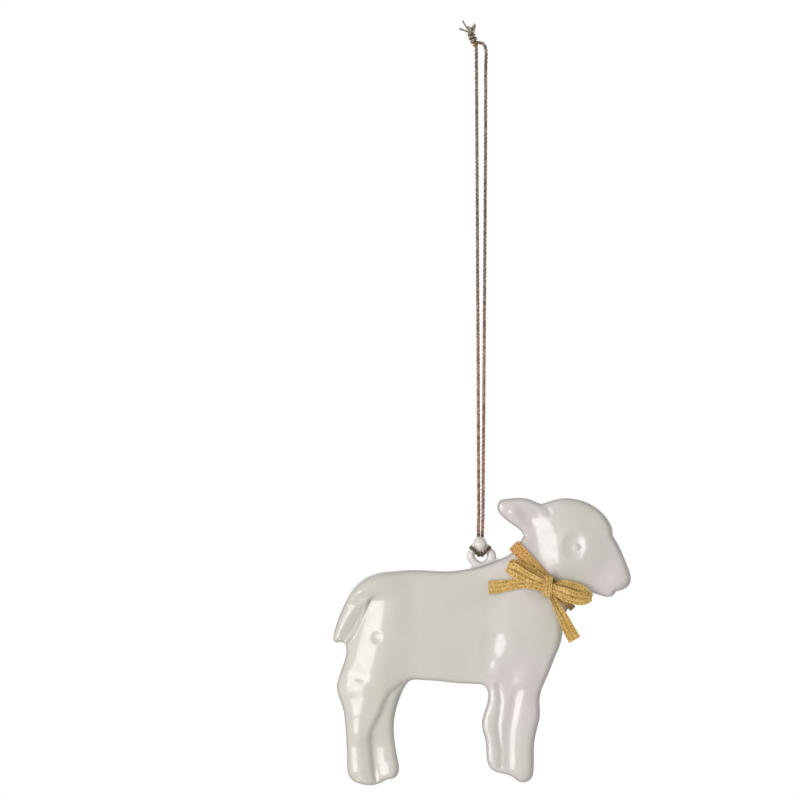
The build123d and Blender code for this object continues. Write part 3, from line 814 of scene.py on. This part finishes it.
# %% The hanging eye
eye_stretches = [
    [(495.9, 570.6), (496.2, 560.8), (495.8, 553.3), (494.2, 550.1), (488.7, 547.2)],
    [(488.7, 547.2), (487.3, 542.9), (484.4, 538.3), (479.8, 536.2), (475.2, 538.3), (472.3, 542.9),
     (470.9, 548.3)],
    [(470.9, 548.3), (468.3, 551.2), (466.8, 555.6), (467.7, 560.2), (470.3, 563.6), (472.3, 568.2),
     (472.9, 575.2)],
    [(472.9, 575.2), (484, 575.5), (495.9, 570.6)],
]
eye_hole = [(482.1, 561.9), (485.9, 558.2), (486.4, 553.8), (480.7, 551.5), (474.9, 553.8), (475.8, 557.9),
            (482.1, 561.9)]
eye_half_thickness = 0.95
eye_roll = 1.15
crown_pixel = (479.8, 544.6)
crown_radii = (1.93, 1.95, 2.15)  # X, Y and Z
eye_voxel = 0.13
eye_pitch = 0.55  # pixels
eye_margin = 0.3


def rolled_plate(loops):
    """Both faces of a plate whose height is half its thickness times sqrt(1 - (1 - t) squared)."""
    inner = lattice(loops[0], eye_pitch, eye_margin)
    for hole in loops[1:]:
        inner = inner[~inside(inner[:, 0], inner[:, 1], hole)]
        inner = inner[distance_to_line(inner[:, 0], inner[:, 1], hole, closed=True) > eye_margin]
    places, faces = triangulate(loops, inner)
    edge = np.min([distance_to_line(places[:, 0], places[:, 1], loop, closed=True) for loop in loops], axis=0)
    edge[: sum(len(loop) for loop in loops)] = 0
    height = eye_half_thickness * quarter_round(edge * pixel / mm / eye_roll) * mm
    near, far = place(places, height), place(places, -height)
    back = faces[:, ::-1] + len(places)
    return np.vstack([near, far]), faces.tolist() + back.tolist()


def crown_ball(rows=24, around=36):
    """An ellipsoid: latitude a and longitude b give (sin a cos b, sin a sin b, cos a) times the radii."""
    a = np.linspace(0.02, math.pi - 0.02, rows)[:, None]
    b = np.arange(around) * 2 * math.pi / around
    ball = np.stack([np.sin(a) * np.cos(b), np.sin(a) * np.sin(b), np.cos(a) + 0 * b], axis=-1)
    points = (ball * np.array(crown_radii) * mm).reshape(-1, 3) + place(crown_pixel, 0)
    return points, outward(points, grid_faces(rows, around, False))


eye_outline = np.vstack([natural_cubic(stretch, 0.5)[:-1] for stretch in eye_stretches])
eye_hole_loop = natural_cubic(eye_hole, 0.5)[:-1]
rough_eye = new_piece("rough_eye", *joined([rolled_plate([eye_outline, eye_hole_loop]), crown_ball()]))
melt = rough_eye.modifiers.new("melt", "REMESH")
melt.mode = "VOXEL"
melt.voxel_size = eye_voxel * mm
soften = rough_eye.modifiers.new("soften", "SMOOTH")
soften.factor = 0.5
soften.iterations = 4
bpy.context.view_layer.update()
melted = bpy.data.meshes.new_from_object(rough_eye.evaluated_get(bpy.context.evaluated_depsgraph_get()))
eye = bpy.data.objects.new("eye", melted)
scene.collection.objects.link(eye)
bpy.data.objects.remove(rough_eye)
eye.data.polygons.foreach_set("use_smooth", np.ones(len(eye.data.polygons), bool))
print("eye:", len(eye.data.polygons), "faces")

# %% [markdown]
# The ribbon is a narrow knitted tape, so it is modelled as a strap: a flat rounded section carried along a
# path, with the path's own side direction telling which way its width lies. Rows of stitches are pressed
# into its faces as small waves that lean both ways from each column, as in plain knitting, and its two edges
# are scalloped by the same rows. Cloth simulation isn't used: the tape is stiff for its size, and holds the
# folds it is tied in.

# %% A knitted strap along a path
ribbon_width = 3.2
ribbon_thickness = 0.46
stitch_rows = 0.8  # mm along, from one stitch to the next
stitch_columns = 1.07  # mm across
stitch_height = 0.11
strap_spacing = 0.14
strap_columns = 56
edge_scallop = 0.03  # as a share of the width
pinch_softness = 0.03
# Painted shade along the pinch folds: how wide it is and how dark.
fold_shade_width = 0.13  # as a share of half the width
fold_shade_darkness = 1.3


def drawn_out(wave, power):
    """A wave from -1 to 1 to some power, with its sign kept: a power under 1 squares its shoulders."""
    return np.sign(wave) * np.abs(wave) ** power


def strap_section(count):
    """A flat rounded section: how far across and through the tape each of its corners lies, from -1 to 1."""
    t = np.arange(count) * 2 * math.pi / count
    return drawn_out(np.cos(t), 0.62), drawn_out(np.sin(t), 0.34)


def stitches(along, across):
    """Height of the knit, from -1 to 1, at mm along and across the tape: waves that lean in a V.

    Hand-made yarn isn't even, so slow sines of both places bend the rows and the columns a little.
    """
    along = along + 0.17 * np.sin(along * 1.9 + across * 1.3) + 0.09 * np.sin(along * 4.7 - across * 2.2)
    column = across / stitch_columns + 0.10 * np.sin(along * 1.1 + 0.6)
    lean = np.abs(column - np.floor(column) - 0.5)
    leg = np.sin(2 * math.pi * (along / stitch_rows + lean * 1.1))
    groove = -np.cos(2 * math.pi * column)
    return 0.58 * leg + 0.42 * groove


def knitted_strap(name, path, side, widths=None, folds_in=None, closed=False):
    """A strap with its middle on a path, in metres, and its width along the side vectors.

    Where folds_in is given, in mm, the tape is pinched along its middle: its edges stand forward by that, and
    painted shade darkens the fold.
    """
    count = len(path)
    if closed:
        tangent = unit(np.roll(path, -1, axis=0) - np.roll(path, 1, axis=0))
    else:
        tangent = unit(np.gradient(path, axis=0))
    side = unit(side - tangent * np.sum(side * tangent, axis=1, keepdims=True))
    normal = np.cross(tangent, side)
    along = distances_along(path)[:, None] / mm
    across, through = strap_section(strap_columns)
    widths = np.ones(count) if widths is None else widths
    folds_in = np.zeros(count) if folds_in is None else folds_in
    edge_wave = 1 + edge_scallop * np.sin(2 * math.pi * along / stitch_rows)
    u = across * ribbon_width / 2 * widths[:, None] * edge_wave
    knit = stitches(along + 0.25 * np.sign(through), across * ribbon_width / 2)
    v = through * ribbon_thickness / 2 + np.sign(through) * stitch_height * knit * np.abs(through) ** 2
    v = v + folds_in[:, None] * (np.sqrt(across**2 + pinch_softness) - 0.6)
    points = path[:, None] + mm * (u[..., None] * side[:, None] + v[..., None] * normal[:, None])
    points = points.reshape(-1, 3)
    strap = new_piece(name, points, outward(points, grid_faces(count, strap_columns, closed)))
    # Painted shade: the knit value is lowered along the pinch fold, so the yarn is darker there.
    crease = bell(across / fold_shade_width) * np.clip(folds_in[:, None] ** 2 / 0.12, 0, 1)
    add_attribute(strap, "knit", (knit - fold_shade_darkness * crease).ravel())
    return strap


# %% [markdown]
# The band goes round the neck between the nape and the throat. On each face it lies on the pressing, so its
# depth comes from the same height function, and at both ends it turns over the edge in a tight round.

# %% The band round the neck
nape_pixel = np.array((516.0, 547.3))
throat_pixel = np.array((570.6, 606.2))
band_gap = 0.12
band_end_gap = 0.42
band_samples = 420
band_power = 0.36
band_margin = 2.0  # mm
band_window = 21  # samples
band_gather = 0.46  # the share of its width that the band loses at the throat, where the bow gathers it
gather_start = (0.45, 0.5)  # on the way from -1 at the nape to 1 at the throat, and the way to all of it


def surface_height(points):
    """Height of the near pressing, in mm, at pixel places, and the rim's height outside the outline."""
    x, y = points[:, 0], points[:, 1]
    return pressed_height(x, y, depth_inside(x, y))


def band_path():
    """A closed loop: along the near face to the throat and back along the far face.

    The place on the line from nape to throat is cos a drawn out, and the depth is the face's height times
    sin a drawn out, so that the ends are round and the faces are flat. The height is the largest over the
    width of the band, taken no nearer to the edge than a margin, and evened out over a few samples.
    """
    centre = (nape_pixel + throat_pixel) / 2
    run = throat_pixel - nape_pixel
    length = np.linalg.norm(run)
    half = length / 2 + (band_end_gap + ribbon_thickness / 2) * mm / pixel
    a = np.linspace(0, 2 * math.pi, band_samples, endpoint=False)
    place_along = -drawn_out(np.cos(a), band_power)
    roll = drawn_out(np.sin(a), band_power)
    middle = centre + (place_along * half)[:, None] * run / length
    across = np.array([-run[1], run[0]]) / length * ribbon_width / 2 * mm / pixel
    limit = length / 2 - band_margin * mm / pixel
    held = centre + np.clip(place_along * half, -limit, limit)[:, None] * run / length
    level = np.max([surface_height(held + k * across) for k in (-0.8, -0.4, 0, 0.4, 0.8)], axis=0)
    padded = np.concatenate([level[-band_window:], level, level[:band_window]])
    level = np.convolve(padded, np.ones(band_window) / band_window, mode="same")[band_window:-band_window]
    depth = (level + band_gap + ribbon_thickness / 2) * roll
    path = place(middle, depth * mm)
    tilt = place(middle + across, depth * mm) - path
    widths = 1 - band_gather * step(place_along, *gather_start)
    return path, tilt, widths


band_line, band_side, band_widths = band_path()
band = knitted_strap("neck_band", band_line, band_side, band_widths, closed=True)
print("band: depth of the near face", round(-band_line[:, 1].min() / mm, 2), "mm")

# %% [markdown]
# A bow in so narrow a tape isn't flat. Each loop is gathered at the knot and pinched along its middle, and
# over the upper edge of its front layer one sees the inside of the layer behind. So each stretch of tape is
# given as a few rows: where its middle lies in the picture, how far forward, how wide it shows, how far it
# leans and how deeply it is pinched. A natural cubic runs through all of these at once.

# %% The bow
bow_pixel = np.array((547.3, 585.3))
bow_depth = 5.60  # mm, middle of the knot
tape_rows = {  # pixel x, pixel y, depth in mm, half width in pixels, lean in degrees, pinch in mm
    "bow_loop_rear": [
        (549, 584.5, 6.05, 3.6, 0, 0.25), (541, 582.5, 6.75, 4.6, 5, 0.55), (530, 578, 7.15, 5.9, 8, 0.60),
        (519, 572.5, 7.05, 6.8, 10, 0.50), (511.5, 568.5, 6.55, 6.6, 8, 0.25),
        (507.6, 566.5, 5.75, 4.6, 4, 0),
        (511, 565.5, 5.05, 6.6, 0, 0.10), (519, 567.5, 4.85, 6.6, -4, 0.20), (530, 572, 4.85, 6.0, -4, 0.20),
        (541, 578.5, 4.95, 4.8, 0, 0.10), (549, 583, 5.25, 3.6, 0, 0),
    ],
    "bow_loop_front": [
        (550, 586.5, 6.05, 3.8, 0, 0.25), (557, 590, 6.75, 5.3, 5, 0.50), (566, 593.8, 7.15, 6.6, 8, 0.50),
        (576, 597, 7.05, 6.8, 10, 0.40), (584.5, 597.8, 6.55, 5.9, 8, 0.20), (590.4, 596.4, 5.85, 3.4, 4, 0),
        (586, 594.0, 5.15, 5.6, 0, 0), (577, 590, 4.85, 7.0, -4, 0.10), (566, 586.5, 4.85, 6.6, -4, 0.20),
        (557, 585, 4.95, 5.4, 0, 0.10), (550, 584.8, 5.25, 3.8, 0, 0),
    ],
    "bow_tail_rear": [
        (548, 587.5, 5.35, 3.6, 0, 0.2), (540, 585.5, 5.15, 4.6, 5, 0.4), (527, 582.7, 4.65, 5.1, 5, 0.3),
        (515, 583.7, 4.40, 5.2, 0, 0.15), (500, 585.9, 4.35, 6.2, -3, 0.1), (488.3, 587, 4.50, 7.0, -6, 0.1),
    ],
    "bow_tail_front": [
        (548.5, 588, 5.75, 2.8, -15, 0.2), (552.2, 597.5, 5.05, 3.4, -20, 0.35),
        (557.3, 607.5, 4.75, 4.3, -15, 0.4), (563.0, 618, 4.75, 5.4, -8, 0.3),
        (568.2, 628.5, 4.85, 6.2, -4, 0.15), (574.2, 639, 4.75, 6.4, 0, 0.05),
    ],
}
tape_sides = {  # degrees of the width's direction in the picture, at the start and at the end
    "bow_loop_rear": (66.5, 66.5), "bow_loop_front": (75.3, 75.3),
    "bow_tail_rear": (104, 88), "bow_tail_front": (28, 20),
}


def tape(name):
    """A stretch of tape through its rows."""
    rows = natural_cubic(tape_rows[name], 0.5)
    path = place(rows[:, :2], rows[:, 2] * mm)
    s = distances_along(path)
    wanted = np.linspace(0, s[-1], int(s[-1] / (strap_spacing * mm)) + 2)
    path = interpolated(path, s, wanted)
    half, lean, pinch = interpolated(rows[:, 3:], s, wanted).T
    angle = np.radians(np.interp(wanted / s[-1], (0, 1), tape_sides[name]))
    lean = np.radians(lean)[:, None]
    flat = np.stack([np.cos(angle), 0 * angle, np.sin(angle)], axis=1)
    side = flat * np.cos(lean) + np.array((0, -1.0, 0)) * np.sin(lean)
    widths = half * pixel / mm / (ribbon_width / 2)
    forward = np.sign(np.cross(np.gradient(path, axis=0), side)[:, 1])
    return knitted_strap("tape_of_" + name, path, side, widths, -forward * pinch)


loop_rear, loop_front, tail_rear, tail_front = (tape(name) for name in tape_rows)
wrap_radii = (1.25, 2.55)  # mm forward, and up
wrap_power = 0.8
wrap_lean = math.radians(-4)
wrap_samples = 150


def bow_knot():
    """The wrap of tape at the middle: a drawn out oval round the gathered tape, across the bow."""
    a = np.linspace(0, 2 * math.pi, wrap_samples, endpoint=False)
    out = wrap_radii[0] * drawn_out(np.cos(a), wrap_power)
    high = wrap_radii[1] * drawn_out(np.sin(a), wrap_power)
    pixels = bow_pixel - high[:, None] * (math.sin(wrap_lean), math.cos(wrap_lean)) * mm / pixel
    path = place(pixels, (bow_depth + out) * mm)
    side = np.tile((math.cos(wrap_lean), 0.0, math.sin(wrap_lean)), (len(a), 1))
    pinched = 0.76 - 0.08 * np.cos(a)
    return knitted_strap("wrap_of_bow_knot", path, side, pinched, np.full(len(a), 0.2), closed=True)


bow_middle = bow_knot()
bow_tapes = (loop_rear, loop_front, tail_rear, tail_front)
print("bow pieces:", sum(len(piece.data.polygons) for piece in bow_tapes), "faces")

# %% [markdown]
# Finishes are written as formulas. A small class wraps a socket, so that an expression such as
# 1 - mask * 0.5 adds the Math nodes by itself, and every other node comes from one method that takes its
# kind, its settings and its inputs.


# %% Shader maths as formulas
class Value:
    """A socket that can be used in formulas."""

    def __init__(self, finish, socket):
        self.finish = finish
        self.socket = socket

    def maths(self, operation, *inputs):
        return self.finish.add("ShaderNodeMath", {"operation": operation}, dict(enumerate(inputs)))

    def __add__(self, other):
        return self.maths("ADD", self, other)

    def __rsub__(self, other):
        return self.maths("SUBTRACT", other, self)

    def __mul__(self, other):
        return self.maths("MULTIPLY", self, other)

    __radd__ = __add__
    __rmul__ = __mul__

    def between(self, low, high):
        """0 at low, 1 at high, with a smooth step."""
        sockets = {0: self, 1: low, 2: high, 3: 0.0, 4: 1.0}
        return self.finish.add("ShaderNodeMapRange", {"interpolation_type": "SMOOTHSTEP"}, sockets)


class Finish:
    """The node tree of a material or of the world, being written."""

    def __init__(self, owner, ending="ShaderNodeOutputMaterial"):
        owner.use_nodes = True
        self.owner = owner
        self.tree = owner.node_tree
        self.tree.nodes.clear()
        self.output = self.tree.nodes.new(ending)

    def add(self, kind, settings=None, inputs=None, output=0):
        """Adds a node: first its settings, then the values or links of its sockets."""
        node = self.tree.nodes.new(kind)
        for name, setting in (settings or {}).items():
            setattr(node, name, setting)
        for name, given in (inputs or {}).items():
            if isinstance(given, Value):
                self.tree.links.new(given.socket, node.inputs[name])
            else:
                node.inputs[name].default_value = given
        return Value(self, node.outputs[output])

    def place_on(self):
        """Object coordinates, in metres."""
        return self.add("ShaderNodeTexCoord", output=3)

    def attribute(self, name):
        """The number that each vertex carries under a name."""
        return self.add("ShaderNodeAttribute", {"attribute_name": name}, output=2)

    def noise(self, size, detail, where):
        """Soft noise from 0 to 1, with patches about as wide as size, in mm."""
        sockets = {"Vector": where, "Scale": 1 / (size * mm), "Detail": detail}
        return self.add("ShaderNodeTexNoise", None, sockets)

    def near(self, where, pixels, depth, full, none):
        """1 up to one distance from a place in the photograph, and 0 beyond another; all three in mm."""
        sockets = {0: where, 1: tuple(place(pixels, depth * mm).tolist())}
        distance = self.add("ShaderNodeVectorMath", {"operation": "DISTANCE"}, sockets, output=1)
        return 1 - distance.between(full * mm, none * mm)

    def mix(self, factor, first, second):
        """A colour between two colours."""
        sockets = {0: factor, 6: first, 7: second}
        return self.add("ShaderNodeMix", {"data_type": "RGBA"}, sockets, output=2)

    def bumped(self, height, distance, strength):
        """A normal from heights between 0 and 1 that stand for a distance in mm."""
        sockets = {"Height": height, "Distance": distance * mm, "Strength": strength}
        return self.add("ShaderNodeBump", None, sockets)

    def end(self, shader):
        """Links the last shader to the output, and gives back the material or the world."""
        self.tree.links.new(shader.socket, self.output.inputs[0])
        return self.owner

    def done(self, **sockets):
        """Ends the material with a Principled shader that has these sockets."""
        named = {name.replace("_", " "): given for name, given in sockets.items()}
        return self.end(self.add("ShaderNodeBsdfPrincipled", None, named))


def colour(red, green, blue):
    """A colour as it is written in a picture, from 0 to 255, as the linear one that a shader needs."""
    levels = np.array((red, green, blue)) / 255
    linear = np.where(levels < 0.04045, levels / 12.92, ((levels + 0.055) / 1.055) ** 2.4)
    return (*linear.tolist(), 1.0)


# %% [markdown]
# Pearl enamel is a warm pale grey. Its broad patches of green and pink, greener towards the rear, are a
# painted reflection of the surroundings. The patches are broad, so they come from slow noise. The enamel
# darkens at the rim, partly where it has run thin over it and partly as painted shade, and in the creases as
# painted shade, from each vertex's own distance from the outline and the creases.

# %% Pearl enamel
# Painted reflection: a greener tint towards the rear, like the green patches below.
green_reflection_side = (-0.036, -0.004)  # X, in metres, over which the greenish tone of the haunch fades out


def pearl_enamel(name, rim, paler=0.0):
    """A warm pale grey with broad green and pink patches of painted reflection; rim says whether it takes the
    grey of thin enamel and painted shade at its rim and creases.
    """
    finish = Finish(bpy.data.materials.new(name))
    where = finish.place_on()
    # Painted reflection: broad green and pink patches, the surroundings mirrored in the enamel.
    green = finish.noise(16, 1.0, where).between(0.45, 0.62)
    tone = finish.mix(green * 0.8, colour(212, 205, 199), colour(206, 203, 190))
    pink = finish.noise(24, 0.0, where).between(0.5, 0.7)
    tone = finish.mix(pink * 0.6, tone, colour(215, 204, 203))
    x = finish.add("ShaderNodeSeparateXYZ", None, {"Vector": where})
    tone = finish.mix((1 - x.between(*green_reflection_side)) * 0.6, tone, colour(210, 206, 192))
    # Painted shade, with thin enamel at the rim: the grey attribute darkens the rim and the creases.
    if rim:
        tone = finish.mix(finish.attribute("grey") * 0.8, tone, colour(140, 137, 124))
    tone = finish.mix(paler, tone, colour(240, 238, 230))
    uneven = finish.noise(1.6, 1.0, where) * 0.15 + finish.noise(5.0, 1.0, where)
    normal = finish.bumped(uneven, 0.07, 0.6)
    gloss = 0.62 + finish.noise(3.2, 2.0, where).between(0.36, 0.60) * 0.38
    return finish.done(Base_Color=tone, Roughness=0.3, Normal=normal, Coat_Weight=gloss, Coat_Roughness=0.08)


enamel = pearl_enamel("pearl_enamel", True)
eye_enamel = pearl_enamel("pearl_enamel_eye", False, 0.5)

# %% [markdown]
# The solder line between the halves shows as a thin grey edge: the enamel has pooled over it and aged, so
# it is a dull metal with darker spots.


# %% Aged solder
def aged_solder():
    """A dull grey metal under thin enamel, spotted."""
    finish = Finish(bpy.data.materials.new("aged_solder"))
    where = finish.place_on()
    spots = finish.noise(1.4, 3.0, where).between(0.45, 0.7)
    tone = finish.mix(spots, colour(158, 154, 142), colour(108, 104, 90))
    normal = finish.bumped(finish.noise(0.5, 2.0, where), 0.03, 0.6)
    return finish.done(Base_Color=tone, Metallic=0.35, Roughness=0.42, Normal=normal)


solder = aged_solder()

# %% [markdown]
# The ribbon is yarn, so it has no gloss of its own. Painted shade darkens its stitches in the hollows and
# along its folds, single fibres make it uneven at a scale of half a millimetre, and it is more orange where
# the strand crosses the nape. A painted shadow darkens it beside the knot and at the throat.


# %% Knitted gold yarn
def gold_yarn():
    """Gold with painted shade in the hollows of the knit, along its folds, beside the knot and at the throat,
    with dark flecks and slow changes of tone.
    """
    finish = Finish(bpy.data.materials.new("gold_yarn"))
    where = finish.place_on()
    knit = finish.attribute("knit")
    uneven = finish.noise(1.1, 2.0, where).between(0.36, 0.60)
    # Painted shade: the hollows of the knit and the pinch folds darken the yarn's colour.
    hollow = (1 - knit.between(-0.9, 0.45)) * (0.65 + 0.4 * uneven)
    slow = finish.noise(3.2, 2.0, where).between(0.38, 0.62)
    tone = finish.mix(slow, colour(230, 192, 110), colour(212, 170, 84))
    nape = finish.near(where, nape_pixel + 3.0, 0, 3.6, 5.8)
    tone = finish.mix(nape * 0.7, tone, colour(230, 152, 78))
    fibre = finish.noise(0.42, 2.0, where).between(0.42, 0.66)
    tone = finish.mix(fibre * 0.4, tone, colour(246, 220, 156))
    tone = finish.mix(hollow * 0.78, tone, colour(140, 98, 36))
    fleck = finish.noise(0.75, 1.0, where).between(0.6, 0.68)
    tone = finish.mix(fleck * 0.3, tone, colour(120, 88, 36))
    # Painted shadow: the gap between the knot, the cheek and the front loop lies in shade.
    painted_shadow_beside_knot = finish.near(where, (552.8, 577.0), 4.6, 0.9, 2.0)
    tone = finish.mix(painted_shadow_beside_knot * 0.85, tone, colour(70, 62, 30))
    # Painted shade: the end of the band at the throat lies in shadow.
    throat = finish.near(where, throat_pixel, 0, 3.0, 4.2)
    tone = finish.mix(throat * 0.75, tone, colour(116, 88, 62))
    normal = finish.bumped(finish.noise(0.22, 2.0, where), 0.05, 0.7)
    return finish.done(Base_Color=tone, Roughness=0.82, Normal=normal, Sheen_Weight=0.25, Sheen_Roughness=0.5)


yarn = gold_yarn()

# %% [markdown]
# The cord has a metallic thread in its twist. It is a grey taupe near the knot and turns to a pinkish copper
# near the lamb. Painted shade darkens it between the plies, and at the hitch in the eye's hole.


# %% Metallic twisted thread
taupe_levels = (-0.112, -0.040)  # Z, in metres, over which copper turns to taupe
# Painted shade: the hitch lies in the shadow of the eye's hole, so its colour darkens to olive.
hitch_shade_levels = (-0.1280, -0.1262)  # over which the dark olive of the hitch fades out


def metallic_thread():
    """A colour along Z, with painted shade between the plies and at the hitch, and a tone that varies along
    each ply whose lighter patches are painted glints of the metal.
    """
    finish = Finish(bpy.data.materials.new("metallic_thread"))
    where = finish.place_on()
    level = finish.add("ShaderNodeSeparateXYZ", None, {"Vector": where}, output=2)
    high = level.between(*taupe_levels)
    outer = finish.attribute("from_axis")
    # The thread's tone varies along each ply, and its lighter patches are painted glints of the metal.
    grain = finish.noise(0.5, 2.0, where).between(0.4, 0.62)
    light = finish.mix(high, colour(205, 166, 142), colour(172, 156, 136))
    dark = finish.mix(high, colour(132, 90, 68), colour(104, 90, 73))
    tone = finish.mix(grain, dark, light)
    # Painted shade between the plies, from each vertex's distance from the cord's axis.
    tone = finish.mix(1 - outer.between(0.35, 0.85), tone, colour(58, 42, 34))
    fleck = finish.noise(0.9, 1.0, where).between(0.6, 0.7)
    tone = finish.mix(fleck * 0.6, tone, colour(70, 54, 42))
    # Painted shade on the hitch.
    tone = finish.mix((1 - level.between(*hitch_shade_levels)) * 0.8, tone, colour(78, 70, 46))
    under_knot = finish.near(where, (474.3, 44.2), 0, 0.6, 1.4)
    tone = finish.mix(under_knot * 0.6, tone, colour(178, 132, 66))
    return finish.done(Base_Color=tone, Metallic=0.45, Roughness=0.4)


thread = metallic_thread()

# %% [markdown]
# Every visible piece now gets its finish. The CAD's own solder line and the solder at the foot of the eye
# keep their shapes, which are right, and only take the better material.

# %% Dress the pieces
ribbon_pieces = {
    "ribbon_neck_band": band, "bow_knot": bow_middle, "bow_loop_rear": loop_rear,
    "bow_loop_front": loop_front, "bow_tail_rear": tail_rear, "bow_tail_front": tail_front,
}
cord_pieces = [strand_left, strand_right, hitch, knot, ends] + [part for _, part in neck_parts]
for piece, finish_of_piece, slot_name in (
    [(near_half, enamel, "enamel"), (far_half, enamel, "enamel"), (eye, eye_enamel, "eyelet_metal")]
    + [(piece, yarn, "ribbon") for piece in ribbon_pieces.values()]
    + [(piece, thread, "cord") for piece in cord_pieces]
):
    piece.data.materials.clear()
    piece.data.materials.append(finish_of_piece)
bead_enamel = pearl_enamel("pearl_enamel_bead", False)
for node, finish_of_node in (("seam_solder", solder), ("eyelet_solder", bead_enamel)):
    for slot in bpy.data.objects[node].material_slots:
        slot.material = finish_of_node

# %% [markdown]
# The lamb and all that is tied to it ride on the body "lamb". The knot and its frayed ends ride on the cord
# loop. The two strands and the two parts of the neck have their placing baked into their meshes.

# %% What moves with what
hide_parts("near_half_shell")
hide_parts("far_half_shell")
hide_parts("hanging_eyelet")
for node, piece in ribbon_pieces.items():
    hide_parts(node)
for piece in (near_half, far_half, eye, hitch, *ribbon_pieces.values()):
    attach(piece, "lamb")
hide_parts("cord_hitch")
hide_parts("cord_knot")
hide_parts("cord_frayed_ends")
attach(knot, "cord_loop")
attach(ends, "cord_loop")
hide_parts("cord_strand_left")
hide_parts("cord_strand_right")
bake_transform(strand_left)
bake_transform(strand_right)
for level, part in neck_parts:
    if level == "upper":
        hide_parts("cord_neck_upper")
        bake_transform(part)
    else:
        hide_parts("cord_neck_lower")
        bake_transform(part)

# %% The pieces of cord round the strands, in one list
cord_neighbours = [knot, ends, hitch] + [part for _, part in neck_parts]

# %% [markdown]
# The studio is white all round. A tall strip of light stands to the left of the camera, where a surface that
# leans a quarter of the way to the left mirrors it, and draws the bright lines down the ridges of the
# pressing. A broad soft light fills from the front. The floor lies well below the lamb, because it hangs.

# %% The studio
lamb_middle = Vector(place((480, 660), 0).tolist())


def soft_light(name, offset, size, radiance, mirrored):
    """A rectangular lamp that looks at the lamb; its power is pi times its area times its radiance.

    Only a mirrored lamp shows as a bright shape on glossy enamel; the others light it without a trace.
    """
    lamp = bpy.data.lights.new(name, "AREA")
    lamp.shape = "RECTANGLE"
    lamp.size, lamp.size_y = size
    lamp.energy = math.pi * size[0] * size[1] * radiance
    holder = bpy.data.objects.new(name, lamp)
    scene.collection.objects.link(holder)
    holder.location = lamb_middle + Vector(offset)
    holder.rotation_euler = (-Vector(offset)).to_track_quat("-Z", "Y").to_euler()
    holder.visible_glossy = mirrored


soft_light("strip", (-0.70, -1.0, 0.0), (0.62, 0.76), 4.15, True)
soft_light("fill", (-0.5, -1.5, 0.1), (1.4, 1.2), 1.1, False)
soft_light("back", (0.5, 1.3, 0.8), (1.0, 1.0), 1.2, False)
floor_drop = 0.25
floor_half = 1.6
floor_whiteness = 0.7  # the rest is matt, and carries the shadow
sky_strength = 0.42
floor_level = cad_low.z - floor_drop
corners = [(x * floor_half, y * floor_half, floor_level) for x, y in ((-1, -1), (1, -1), (1, 1), (-1, 1))]
floor = new_piece("floor", corners, [[0, 1, 2, 3]])


def seen_directly(finish):
    """1 for a ray from the camera, a reflection or a refraction, and 0 for the light that falls on things."""
    rays = [finish.add("ShaderNodeLightPath", output=kind) for kind in (0, 3, 6)]
    total = rays[0] + rays[1] + rays[2]
    return finish.add("ShaderNodeMath", {"operation": "MINIMUM"}, {0: total, 1: 1.0})


def pale_floor():
    """White for the camera, mixed with a pale matt surface that carries the shadow."""
    finish = Finish(bpy.data.materials.new("pale_floor"))
    matt = finish.add("ShaderNodeBsdfDiffuse", None, {"Color": (0.9, 0.9, 0.9, 1)})
    white = finish.add("ShaderNodeEmission", None, {"Strength": 1.0})
    share = seen_directly(finish) * floor_whiteness
    return finish.end(finish.add("ShaderNodeMixShader", None, {0: share, 1: matt, 2: white}))


def white_sky():
    """White for the camera and for reflections, and a softer light on everything else."""
    sky = Finish(bpy.data.worlds.new("studio"), "ShaderNodeOutputWorld")
    soft = sky.add("ShaderNodeBackground", None, {"Color": (1, 1, 1, 1), "Strength": sky_strength})
    white = sky.add("ShaderNodeBackground", None, {"Color": (1, 1, 1, 1), "Strength": 1.0})
    return sky.end(sky.add("ShaderNodeMixShader", None, {0: seen_directly(sky), 1: soft, 2: white}))


floor.data.materials.append(pale_floor())
scene.world = white_sky()
scene.view_settings.view_transform = "Standard"
